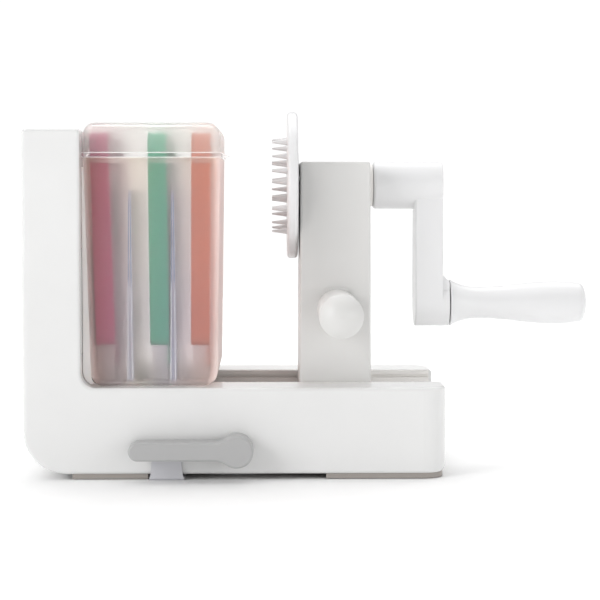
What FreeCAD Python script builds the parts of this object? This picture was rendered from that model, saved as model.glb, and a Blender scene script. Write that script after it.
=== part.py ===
import FreeCAD, Part
import math
import os
import Sketcher
from FreeCAD import Placement, Rotation, Vector
from types import SimpleNamespace

# A tabletop spiralizer with a crank, in millimetres.
# X runs along the base, from the column to the crank; Y runs away from the lever's side;
# Z is up. The origin is on the table, at the middle of the housing's footprint.

os.makedirs("parts", exist_ok=True)
doc = FreeCAD.newDocument("Spiralizer")

# ---------------------------------------------------------------- driving dimensions

SIZES = [
    # clearances and fits
    ("seat_gap", 0.3, "gap between a loose piece and what it stands on"),
    ("slide_gap", 0.3, "gap between a sliding piece and its guide"),
    ("shaft_gap", 0.05, "radial running clearance of a shaft"),
    ("press_gap", 0.05, "radial gap of a pressed or screwed piece"),
    ("over", 1, "how far a cut or a joining piece runs past a face"),
    # housing
    ("body_length", 250, "housing along X"),
    ("body_width", 140, "housing along Y"),
    ("body_bottom", 3.3, "underside of the housing above the table"),
    ("rail_top", 54.2, "top of the rails"),
    ("column_top", 206.3, "top of the column"),
    ("column_depth", 34.2, "column along X"),
    ("heel_radius", 26, "outer lower corner under the column"),
    ("throat_radius", 8.5, "inner corner between the column and the rails"),
    ("crown_radius", 4, "outer upper corner of the column"),
    ("toe_radius", 5, "lower corner at the open end"),
    ("end_radius", 14, "open end, seen from above"),
    ("back_radius", 3, "column side, seen from above"),
    ("rim_radius", 2, "soft edge round the two side faces"),
    ("wall", 3.3, "housing wall"),
    ("channel_width", 69.2, "clear width between the liners"),
    ("channel_floor", 34.4, "floor of the channel"),
    ("floor_wall", 2.9, "thickness of the channel's floor"),
    ("hollow_inner", 40, "inner side of the hollow in each rail, from the middle"),
    ("spine_half", 31.8, "half width of the middle hollow"),
    # guides
    ("liner_wall", 2.4, "thickness of a rail liner"),
    ("groove_height", 2.2, "height of the guide groove"),
    ("groove_depth", 1.5, "depth of the guide groove"),
    ("groove_level", 50.5, "middle of the guide groove"),
    ("liner_setback", 0.2, "liner's top edge below the rail's top"),
    ("liner_end", 2, "liner's end short of the open end"),
    # crank axis and blade seat
    ("crank_level", 173.2, "height of the crank's axis"),
    ("window_radius", 46, "round window in the column"),
    ("slot_wall", 3.4, "wall between the cartridge slot and the column's inner face"),
    ("recess_bottom", 73.7, "shallow recess in the column's legs, lower end"),
    ("recess_top", 135.6, "shallow recess in the column's legs, upper end"),
    ("recess_depth", 1.5, "depth of that recess"),
    ("recess_margin", 4, "wall left beside that recess"),
    ("rib_wall", 2, "rib in the middle of that recess"),
    ("hollow_top", 118, "top of the hollow in the column"),
    # blade cartridges
    ("cartridge_thickness", 11, "cartridge along X"),
    ("cartridge_width", 118, "cartridge along Y"),
    ("cartridge_height", 126, "cartridge without its tongue"),
    ("tongue_height", 15, "tongue below the cartridge"),
    ("axis_below_top", 33, "cartridge's top above the crank's axis"),
    ("slot_gap", 0.4, "gap round a cartridge in the column"),
    # cover, feet and cup
    ("cover_wall", 2.5, "thickness of the bottom cover"),
    ("cover_recess", 0.2, "cover's underside above the housing's lower edge"),
    ("skirt_bottom", 0.4, "underside of the cover's skirt above the table"),
    ("skirt_inset", 1.6, "skirt's outer face from the housing's side"),
    ("skirt_width", 6, "skirt along the sides"),
    ("skirt_end_width", 2.6, "skirt at both ends"),
    ("skirt_opening", 52.6, "half width of the skirt's openings beside the cup"),
    ("screw_pass", 0.25, "gap round a screw that passes through a plate"),
    ("cover_hole_radius", 31, "hole in the cover over the middle of the cup"),
    ("screw_radius", 1.45, "shank of the self-tapping screws"),
    ("screw_head_radius", 3, "head of the self-tapping screws"),
    ("screw_head_height", 1.2, "height of those heads"),
    ("screw_head_taper", 0.4, "taper of those heads"),
    ("screw_from_left", 53, "left cover screws from the housing's left end"),
    ("screw_past_lever", 61, "middle cover screws from the lever's pivot"),
    ("screw_from_right", 25, "right cover screws from the housing's right end"),
    ("screw_from_side", 17, "cover screws from the housing's sides"),
    ("screw_reach", 12, "length of thread above the cover"),
    ("boss_radius", 4.5, "screw bosses"),
    ("foot_radius", 7, "rubber feet"),
    ("foot_taper", 0.6, "taper of the feet"),
    ("foot_peg_radius", 2.8, "peg of a foot in the cover"),
    ("foot_from_left", 10.1, "left feet from the cover's left end"),
    ("foot_from_right", 13, "right feet from the housing's right end"),
    ("foot_from_side", 16, "feet from the housing's sides"),
    ("cup_radius", 50, "suction cup"),
    ("cup_skin", 2.0, "thickness of the cup's skin"),
    ("cup_boss_radius", 14, "middle of the cup"),
    ("cup_boss_height", 7.5, "top of the cup's middle"),
    ("cup_rim_width", 3.5, "thick rim of the cup"),
    ("cup_slope", 1, "slope beside the cup's thick parts"),
    ("tab_width", 17.9, "release tab of the cup"),
    ("tab_middle", -40.45, "middle of the tab along X"),
    ("tab_skin", 1.9, "thickness of the tab"),
    ("tab_top", 11.6, "top of the tab"),
    ("tab_flare", 1.2, "tab wider at its foot, each side"),
    ("tab_sweep", 48, "hollow curve of the tab's sides"),
    ("tab_corner", 1.5, "upper corners of the tab"),
    ("tab_standoff", 0.5, "gap between the tab and the housing"),
    ("tab_bend", 1.7, "rounded lower edge of the tab"),
    # lever and cam
    ("lever_x", 1, "lever pivot along X"),
    ("lever_level", 18.8, "height of the lever's pivot"),
    ("lever_reach", 57.6, "pivot to the middle of the lever's round tip"),
    ("lever_hub_radius", 9.7, "round end of the lever"),
    ("lever_tip_radius", 5.4, "tip of the lever"),
    ("lever_blend_radius", 14, "hollow curve between the lever's hub and arm"),
    ("lever_standoff", 3.5, "gap between the housing and the lever"),
    ("lever_thickness", 14.5, "lever along Y"),
    ("lever_bevel", 1.1, "bevel round the lever's outer face"),
    ("camshaft_radius", 3.5, "lever's shaft"),
    ("shaft_bite", 4, "shaft's end in the far wall"),
    ("camshaft_square", 4.8, "square end of the lever's shaft"),
    ("square_reach", 10, "length of that square in the lever"),
    ("lever_bush_radius", 5.5, "barrel of the lever's bush"),
    ("lever_collar_radius", 7.5, "collar of the lever's bush"),
    ("cam_low", 4.2, "smallest radius of the cam"),
    ("cam_lift", 4.0, "rise of the cam in half a turn"),
    ("cam_width", 8, "cam along Y"),
    ("yoke_wall", 2.5, "bars of the yoke"),
    ("stem_height", 2.6, "underside of the stem's foot above the table"),
    ("stem_radius", 5, "stem below the yoke"),
    ("stem_foot_radius", 9, "foot of the stem in the cup"),
    ("stem_foot_height", 2, "thickness of that foot"),
    # carriage
    ("post_place", 64.9, "middle of the post from the housing's open end"),
    ("post_top", 187.5, "top of the post"),
    ("post_top_width", 42.2, "post along X at its top"),
    ("post_foot_width", 43.8, "post along X at its foot"),
    ("post_wall", 2.6, "wall of the post"),
    ("post_edge", 1.6, "soft edges of the post"),
    ("shoe_wall", 4, "thickness of the shoe"),
    ("shoe_screw_x", 14, "shoe screws from the post's middle along X"),
    ("shoe_screw_y", 26, "shoe screws from the post's middle along Y"),
    ("shoe_boss_radius", 4.2, "bosses of the shoe screws"),
    ("shoe_boss_height", 14, "height of those bosses"),
    ("handle_shift", 1.25, "push handle to the right of the post's middle"),
    ("handle_level", 98.2, "height of the push handle"),
    ("handle_base_radius", 12.2, "push handle at the post"),
    ("handle_end_radius", 12.8, "push handle at its end"),
    ("handle_length", 71, "push handle along Y"),
    ("handle_dome", 7, "length of the handle's domed end"),
    ("handle_screw_radius", 2.4, "screw of the push handle"),
    ("handle_screw_head", 4.6, "head of that screw"),
    ("handle_screw_reach", 22, "thread of that screw in the handle"),
    ("key_width", 13, "locating key above the push handle"),
    ("key_rise", 0.9, "key's top above the handle's base circle"),
    ("key_height", 5.8, "key along Z"),
    ("key_depth", 2.2, "key in front of the post"),
    # crank and food holder
    ("bush_barrel_radius", 9.5, "barrels of the crank bushes"),
    ("bush_collar_radius", 12.85, "collar of the crank-side bush"),
    ("inner_collar_radius", 11.2, "collar of the holder-side bush"),
    ("bush_collar_width", 2.4, "thickness of the inner collar"),
    ("bush_past_wall", 1, "crank-side bush past the inside of the wall"),
    ("head_height", 2.4, "heads of the handle screw and the shaft screw"),
    ("shaft_radius", 6, "crank shaft"),
    ("shaft_square", 8, "square ends of the crank shaft"),
    ("holder_gap", 0.57, "gap between the food holder and the post"),
    ("holder_radius", 45.25, "food holder"),
    ("holder_thickness", 6.5, "rim of the food holder"),
    ("holder_hub_radius", 20, "raised middle of its back"),
    ("holder_hub_rise", 0.7, "rise of that middle"),
    ("holder_hub_slope", 2, "slope round that middle"),
    ("holder_edge", 2.2, "rounded rim of the food holder"),
    ("holder_socket", 5, "depth of the square socket in the food holder"),
    ("spike_length", 9.3, "spikes"),
    ("spike_base_radius", 1.9, "spikes at the disc"),
    ("spike_tip_radius", 0.6, "spikes at their tips"),
    ("outer_ring", 29.6, "outer ring of spikes"),
    ("middle_ring", 23, "middle ring of spikes"),
    ("inner_ring", 9, "inner ring of spikes"),
    ("hub_place", 3.27, "crank hub from the post"),
    ("hub_length", 42.95, "crank hub along X, with the arm"),
    ("hub_edge", 1.8, "soft edge of the hub towards the post"),
    ("hub_radius", 14.6, "crank hub"),
    ("hub_bore_depth", 5, "round bore in the hub before the square"),
    ("square_depth", 20, "square socket in the hub"),
    ("arm_thickness", 17.05, "crank arm along X"),
    ("arm_neck", 12, "half width of the arm below the hub"),
    ("arm_end_radius", 14.4, "lower end of the arm"),
    ("arm_edge", 1.2, "soft edge of the arm's inner face"),
    ("arm_rim", 0.7, "soft edge of the arm's outer face"),
    ("crank_radius", 73.3, "crank axis to grip axis"),
    ("pad_height", 4.3, "the arm's pad for the grip, proud of the arm"),
    ("ramp_high", 18, "start of the ramp above the grip's axis"),
    ("ramp_low", 13, "end of the ramp above the grip's axis"),
    ("ramp_share", 0.9, "width of the ramp as a share of the arm's"),
    ("cap_radius", 9, "cap in the crank hub"),
    ("cap_rise", 0.75, "cap proud of the arm"),
    ("cap_depth", 1.8, "cap's seat in the arm"),
    ("shaft_screw_radius", 2, "screw in the shaft's end"),
    ("shaft_screw_head", 4, "head of that screw"),
    ("shaft_screw_reach", 12, "thread of that screw in the shaft"),
    # grip
    ("grip_gap", 0.8, "gap between the pad and the grip"),
    ("grip_flange_radius", 14.3, "flange of the grip"),
    ("grip_flange_width", 1.2, "flange of the grip along X"),
    ("grip_flange_edge", 0.5, "rounded edges of that flange"),
    ("grip_neck_place", 17.4, "thinnest place of the grip from its flange"),
    ("grip_neck_radius", 9.7, "thinnest place of the grip"),
    ("grip_belly_place", 67.4, "thickest place of the grip from its flange"),
    ("grip_belly_radius", 13.15, "thickest place of the grip"),
    ("grip_length", 80.8, "grip along X, without its cap"),
    ("grip_end_radius", 12.1, "end of the grip"),
    ("grip_cap_length", 5.05, "cap along X"),
    ("grip_cap_shoulder", 3.3, "rounded shoulder of the cap along X"),
    ("grip_cap_top_radius", 8.8, "cap's radius at the end of its shoulder"),
    ("grip_cap_rounding", 4, "rounding of that shoulder"),
    ("grip_well_radius", 8, "well in the grip's end"),
    ("grip_well_depth", 9, "depth of that well"),
    ("grip_spigot", 2.5, "cap's spigot in the well"),
    ("pin_radius", 4, "steel pin of the grip"),
    ("pin_seat", 14, "pin in the arm"),
    ("pin_head_radius", 6.3, "head of the pin"),
    ("pin_head_width", 2.5, "thickness of that head"),
    # blade box and lid
    ("box_foot_place", 5.1, "box at its foot from the column"),
    ("box_foot_length", 74.8, "box along X at its foot"),
    ("box_mouth_place", 1.2, "box at its mouth from the column"),
    ("box_mouth_length", 80.5, "box along X at its mouth"),
    ("box_side_gap", 1.6, "gap between a cartridge and the box's wall, along Y"),
    ("box_mouth", 189.4, "mouth of the box"),
    ("box_wall", 2, "wall of the box"),
    ("box_foot_radius", 8, "rounded foot of the box"),
    ("box_corner", 5, "corners of the box, seen from above"),
    ("fin_left_place", 28.6, "left divider fin from the column"),
    ("fin_right_place", 54, "right divider fin from the column"),
    ("fin_top", 170, "top of the fins"),
    ("fin_foot", 4, "fin's thickness at its foot"),
    ("fin_tip", 1.6, "fin's thickness at its top"),
    ("fin_skin", 1.2, "skin of the hollow part of a fin"),
    ("fin_hollow_top", 100, "top of the hollow in a fin"),
    ("fin_inset", 1, "fins short of a cartridge's sides"),
    ("seat_rib", 2, "thickness of the seat ribs"),
    ("seat_rib_width", 8, "seat ribs along X"),
    ("seat_rib_side", 7, "seat ribs from a cartridge's sides"),
    ("seat_rib_inset", 1, "seat ribs from a cartridge's left side"),
    ("lid_height", 20.3, "lid above its lower edge"),
    ("lid_overhang", 0.1, "lid's wall proud of the box"),
    ("lid_bead", 0.7, "bead round the lid's lower edge"),
    ("lid_bead_height", 3, "height of that bead"),
    ("lid_wall", 1.8, "wall of the lid"),
    ("lid_edge", 7.5, "rounded upper sides of the lid"),
    ("lip_drop", 3, "lid's lip below the box's mouth"),
    ("lip_wall", 1, "thickness of that lip"),
    ("lip_corner", 1, "inner corners of that lip"),
    ("lid_gap", 0.3, "gap between lid and box"),
    ("nub_reach", 4.1, "finger nub of the lid"),
    ("nub_half", 9, "finger nub, half width"),
    ("nub_low", 0.5, "underside of the nub above the lid's edge"),
    ("nub_tip", 1.2, "tip of the nub above the lid's edge"),
    ("nub_root", 4, "top of the nub's root above the lid's edge"),
    # inside a cartridge, measured from its left lower corner
    ("cartridge_foot", 78.2, "foot of a stored cartridge"),
    ("plate_wall", 2.3, "plate and tongue of a cartridge"),
    ("cartridge_rim", 2.2, "rim of a cartridge"),
    ("cartridge_corner", 6, "corners of a cartridge"),
    ("tongue_half", 38, "tongue, half width"),
    ("dish_radius", 46, "round dish of a cartridge"),
    ("dish_depth", 3.5, "depth of the dish"),
    ("dish_wall", 1.6, "wall round the dish"),
    ("blade_slot_half", 4.5, "radial slot, half width"),
    ("blade_slot_start", 11, "radial slot from the axis"),
    ("blade_slot_end", 44, "end of the radial slot from the axis"),
    ("slot_frame", 2, "frame round the slot"),
    ("slot_frame_height", 3, "height of that frame"),
    ("core_radius", 8, "hole of the coring ring"),
    ("steel_wall", 0.7, "thickness of the steel"),
    ("edge_rise", 2.6, "cutting edge above the dish"),
    ("edge_bevel", 0.4, "bevel of a cutting edge"),
    ("blade_step", 1, "front of the blade below the dish"),
    ("blade_back", 1.5, "cutting edge from the slot's far side"),
    ("comb_gap", 0.5, "comb from the slot"),
    ("comb_width", 4, "comb along Y"),
    ("comb_rise", 2.8, "teeth above the dish"),
    ("fine_pitch", 3, "spacing of the fine teeth"),
    ("wide_pitch", 6, "spacing of the wide teeth"),
    ("fine_place", 8.6, "foot of the stored fine cartridge from the column"),
    ("fine_lean", -1.68, "lean of the stored fine cartridge, degrees"),
    ("wide_place", 40.3, "foot of the stored wide cartridge from the column"),
    ("wide_lean", -0.5, "lean of the stored wide cartridge, degrees"),
    ("ribbon_place", 64.4, "foot of the stored ribbon cartridge from the column"),
    ("ribbon_lean", 0.3, "lean of the stored ribbon cartridge, degrees"),
]

sheet = doc.addObject("Spreadsheet::Sheet", "Sizes")


def fill_sheet(rows):
    """Write each size into the sheet: its meaning in column A, its value in column B."""
    for line, (alias, value, meaning) in enumerate(rows, start=1):
        sheet.set(f"A{line}", meaning)
        sheet.set(f"B{line}", str(value))
        sheet.setAlias(f"B{line}", alias)


class Size:
    """A length that knows its value and its formula in the spreadsheet."""

    def __init__(self, value, formula):
        self.value = float(value)
        self.formula = formula

    def __float__(self):
        return self.value

    def __add__(self, other):
        other = as_size(other)
        return Size(self.value + other.value, f"({self.formula} + {other.formula})")

    def __sub__(self, other):
        other = as_size(other)
        return Size(self.value - other.value, f"({self.formula} - {other.formula})")

    def __mul__(self, other):
        other = as_size(other)
        return Size(self.value * other.value, f"({self.formula} * {other.formula})")

    def __truediv__(self, other):
        other = as_size(other)
        return Size(self.value / other.value, f"({self.formula} / {other.formula})")

    def __radd__(self, other):
        return as_size(other) + self

    def __rsub__(self, other):
        return as_size(other) - self

    def __rmul__(self, other):
        return as_size(other) * self

    def __neg__(self):
        return Size(-self.value, f"(0 - {self.formula})")

    def root(self):
        """The square root."""
        return Size(math.sqrt(self.value), f"sqrt({self.formula})")


def as_size(value):
    """A plain number as a Size."""
    if isinstance(value, Size):
        return value
    return Size(value, f"{float(value):.6f}")


fill_sheet(SIZES)
doc.recompute()
S = SimpleNamespace(**{alias: Size(value, f"Sizes.{alias}") for alias, value, meaning in SIZES})

# ---------------------------------------------------------------- modelling helpers

NODES = []


def bind(item, name, value):
    """Tie one property of an object to its formula."""
    item.setExpression(name, as_size(value).formula)


def locate(item, x=0, y=0, z=0):
    """Tie an object's position to its formulas."""
    for name, value in (("x", x), ("y", y), ("z", z)):
        bind(item, f"Placement.Base.{name}", value)


def new_body(label):
    """A body that becomes one node of the part."""
    body = doc.addObject("PartDesign::Body", label)
    body.Label = label
    NODES.append(body)
    return body


def plane_of(body, role):
    """One of the body's own origin planes."""
    return next(item for item in body.Origin.OriginFeatures if item.Role == role)


def new_sketch(body, role, offset=0):
    """An empty sketch on an origin plane, moved along the plane's normal."""
    sketch = body.newObject("Sketcher::SketchObject", "Sketch")
    sketch.AttachmentSupport = [(plane_of(body, role), "")]
    sketch.MapMode = "FlatFace"
    bind(sketch, "AttachmentOffset.Base.z", offset)
    return sketch


def fix_point(sketch, curve, end, x, y):
    """Tie one point of a sketch to its two coordinates."""
    for kind, value in (("DistanceX", x), ("DistanceY", y)):
        value = as_size(value)
        rule = Sketcher.Constraint(kind, -1, 1, curve, end, value.value)
        index = sketch.addConstraint(rule)
        sketch.setExpression(f"Constraints[{index}]", value.formula)


def fix_radius(sketch, curve, radius):
    """Tie the radius of a circle or an arc."""
    radius = as_size(radius)
    index = sketch.addConstraint(Sketcher.Constraint("Radius", curve, radius.value))
    sketch.setExpression(f"Constraints[{index}]", radius.formula)


def arc_curve(start, end, radius):
    """The shorter arc between two points; a positive radius turns anticlockwise."""
    chord = end - start
    half = chord.Length / 2
    height = math.sqrt(max(radius * radius - half * half, 0.0))
    side = Vector(-chord.y, chord.x, 0).normalize() * math.copysign(height, radius)
    centre = (start + end) / 2 + side
    angles = [math.atan2(p.y - centre.y, p.x - centre.x) for p in (start, end)]
    if radius < 0:
        angles.reverse()
    circle = Part.Circle(centre, Vector(0, 0, 1), abs(radius))
    return Part.ArcOfCircle(circle, angles[0], angles[1])


def draw_outline(sketch, points):
    """A closed outline. A point (x, y, r) is reached by an arc of radius r, else by a line."""
    spots = [Vector(float(point[0]), float(point[1]), 0) for point in points]
    count = len(points)
    first = sketch.GeometryCount
    ends = []
    for index in range(count):
        target = (index + 1) % count
        bulge = points[target][2] if len(points[target]) > 2 else None
        if bulge is None:
            sketch.addGeometry(Part.LineSegment(spots[index], spots[target]), False)
            ends.append((1, 2))
        else:
            sketch.addGeometry(arc_curve(spots[index], spots[target], float(bulge)), False)
            ends.append((1, 2) if float(bulge) > 0 else (2, 1))
    for index in range(count):
        target = (index + 1) % count
        rule = Sketcher.Constraint(
            "Coincident", first + index, ends[index][1], first + target, ends[target][0]
        )
        sketch.addConstraint(rule)
    for index in range(count):
        fix_point(sketch, first + index, ends[index][0], points[index][0], points[index][1])
        target = (index + 1) % count
        if len(points[target]) > 2:
            bulge = as_size(points[target][2])
            fix_radius(sketch, first + index, bulge if bulge.value > 0 else -bulge)
    return sketch


def draw_circle(sketch, x, y, radius):
    """A circle in a sketch."""
    centre = Vector(float(x), float(y), 0)
    index = sketch.GeometryCount
    sketch.addGeometry(Part.Circle(centre, Vector(0, 0, 1), float(radius)), False)
    fix_point(sketch, index, 3, x, y)
    fix_radius(sketch, index, radius)
    return sketch


def rectangle(low_x, high_x, low_y, high_y):
    """The corners of a rectangle, for draw_outline."""
    return [(low_x, low_y), (high_x, low_y), (high_x, high_y), (low_x, high_y)]


def mirrored_outline(points):
    """The same outline on the other side of its vertical axis, in the same turning sense."""
    flipped = [(-point[0], point[1]) for point in points]
    return flipped[:1] + flipped[:0:-1]


def pad(body, role, draw, low, high):
    """Add material between two levels; draw puts the outlines into the sketch."""
    offset = -high if role == "XZ_Plane" else low
    sketch = new_sketch(body, role, offset)
    draw(sketch)
    feature = body.newObject("PartDesign::Pad", "Pad")
    feature.Profile = sketch
    bind(feature, "Length", high - low)
    body.Tip = feature
    return feature


def pocket(body, role, draw, low, high):
    """Remove material between two levels."""
    offset = -low if role == "XZ_Plane" else high
    sketch = new_sketch(body, role, offset)
    draw(sketch)
    feature = body.newObject("PartDesign::Pocket", "Pocket")
    feature.Profile = sketch
    bind(feature, "Length", high - low)
    body.Tip = feature
    return feature


def shape_of(*outlines):
    """A drawing function for one or more outlines."""
    def draw(sketch):
        for points in outlines:
            draw_outline(sketch, points)
    return draw


def circles_of(*circles):
    """A drawing function for circles, each (x, y, radius)."""
    def draw(sketch):
        for x, y, radius in circles:
            draw_circle(sketch, x, y, radius)
    return draw


def turn(body, points, axis="V_Axis", role="XZ_Plane", kind="PartDesign::Revolution"):
    """Turn an outline round an axis of its sketch; a groove removes instead."""
    sketch = new_sketch(body, role)
    draw_outline(sketch, points)
    feature = body.newObject(kind, "Turned")
    feature.Profile = sketch
    feature.ReferenceAxis = (sketch, [axis])
    feature.Angle = 360
    body.Tip = feature
    return feature


def soften(body, radius, test, kind="PartDesign::Fillet"):
    """Fillet or chamfer the edges of the body that pass a test on their middle and direction."""
    doc.recompute()
    base = body.Tip
    names = []
    for number, edge in enumerate(base.Shape.Edges, start=1):
        middle = edge.valueAt((edge.FirstParameter + edge.LastParameter) / 2)
        if test(middle, edge):
            names.append(f"Edge{number}")
    if not names:
        raise RuntimeError(f"{body.Label}: no edge to soften")
    feature = body.newObject(kind, "Soft")
    feature.Base = (base, names)
    bind(feature, "Radius" if kind.endswith("Fillet") else "Size", radius)
    body.Tip = feature
    return feature


def near(value, size):
    """Whether a coordinate lies on a size."""
    return abs(value - float(size)) < 0.01


def runs_along(edge, direction):
    """Whether a straight edge runs along X, Y or Z."""
    if edge.Curve.TypeId != "Part::GeomLine":
        return False
    return abs(edge.tangentAt(edge.FirstParameter).dot(direction)) > 0.999


X_WAY, Y_WAY, Z_WAY = Vector(1, 0, 0), Vector(0, 1, 0), Vector(0, 0, 1)

# ---------------------------------------------------------------- shared places

left = -S.body_length / 2
right = S.body_length / 2
side = S.body_width / 2
column_face = left + S.column_depth
liner_back = S.channel_width / 2 + S.liner_wall
inside = side - S.wall
ceiling = S.rail_top - S.floor_wall
cover_bottom = S.body_bottom + S.cover_recess
cover_top = cover_bottom + S.cover_wall
cover_left = left + S.heel_radius + S.floor_wall
cover_right = right - S.wall

spine_left = column_face + S.wall
column_hollow_right = column_face - S.floor_wall
hollow_top = S.hollow_top
slot_high = column_face - S.slot_wall
slot_low = slot_high - S.cartridge_thickness - 2 * S.slot_gap
slot_half = S.cartridge_width / 2 + S.slot_gap
slot_floor = (S.crank_level + S.axis_below_top - S.cartridge_height
              - S.tongue_height - S.slot_gap)
shaft_end = S.spine_half + S.shaft_bite
lever_inner = -side - S.lever_standoff
stem_low = S.stem_height

post_x = right - S.post_place
handle_x = post_x + S.handle_shift
shoe_low = S.channel_floor + S.slide_gap
post_low = shoe_low + S.shoe_wall
post_half = S.channel_width / 2 - S.slide_gap
post_top_half = S.post_top_width / 2
post_foot_half = S.post_foot_width / 2
post_crank_half = post_top_half + (post_foot_half - post_top_half) * (
    (S.post_top - S.crank_level) / (S.post_top - post_low))
lug_low = S.groove_level - S.groove_height / 2 + S.slide_gap
lug_high = S.groove_level + S.groove_height / 2 - S.slide_gap
tie_inner = S.shoe_screw_x + S.shoe_boss_radius - S.over
tie_outer = post_foot_half - S.post_wall / 2
shoe_well = S.screw_head_height + S.press_gap
post_collar_half = post_top_half + (post_foot_half - post_top_half) * (
    (S.post_top - S.crank_level + S.bush_collar_radius) / (S.post_top - post_low))
holder_front = (post_x - post_crank_half - S.holder_gap - S.holder_hub_rise
                - S.holder_thickness)
hub_start = post_x + post_crank_half + S.hub_place
arm_end = hub_start + S.hub_length
arm_start = arm_end - S.arm_thickness
pad_end = arm_end + S.pad_height
grip_start = pad_end + S.grip_gap
grip_neck_x = grip_start + S.grip_neck_place
grip_belly_x = grip_start + S.grip_belly_place
grip_end = grip_start + S.grip_length
grip_cap_end = grip_end + S.grip_cap_length
screw_seat = arm_end - S.cap_depth - 2 * S.head_height
ramp_half = S.ramp_share * (
    S.arm_end_radius * S.arm_end_radius - S.ramp_low * S.ramp_low / 4).root()
grip_level = S.crank_level - S.crank_radius
cartridge_axis = S.cartridge_height - S.axis_below_top

box_low_left = column_face + S.box_foot_place
box_low_right = box_low_left + S.box_foot_length
box_high_left = column_face + S.box_mouth_place
box_high_right = box_high_left + S.box_mouth_length
box_half = S.cartridge_width / 2 + S.box_side_gap + S.box_wall
fin_left = column_face + S.fin_left_place
fin_right = column_face + S.fin_right_place
fin_half = S.cartridge_width / 2 - S.fin_inset
seat_rib_y = S.cartridge_width / 2 - S.seat_rib_side
fine_left = column_face + S.fine_place
wide_left = column_face + S.wide_place
ribbon_left = column_face + S.ribbon_place
lid_left = box_high_left - S.lid_overhang
lid_right = box_high_right + S.lid_overhang
lid_half = box_half + S.lid_overhang
lid_top = S.box_mouth + S.lid_gap + S.lid_height


def both_sides(distances, y):
    """The spots at some distances along X, on both sides of the middle."""
    return [(x, way * y) for x in distances for way in (-1, 1)]


SCREW_SPOTS = both_sides(
    (left + S.screw_from_left, S.lever_x + S.screw_past_lever, right - S.screw_from_right),
    side - S.screw_from_side)
FOOT_SPOTS = both_sides(
    (cover_left + S.foot_from_left, right - S.foot_from_right), side - S.foot_from_side)
# each ring of spikes: its radius, how many, and its first spike's turn from the top
SPIKE_RINGS = ((S.outer_ring, 8, 18), (S.middle_ring, 8, 6), (S.inner_ring, 5, 5))

# ---------------------------------------------------------------- housing


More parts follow.
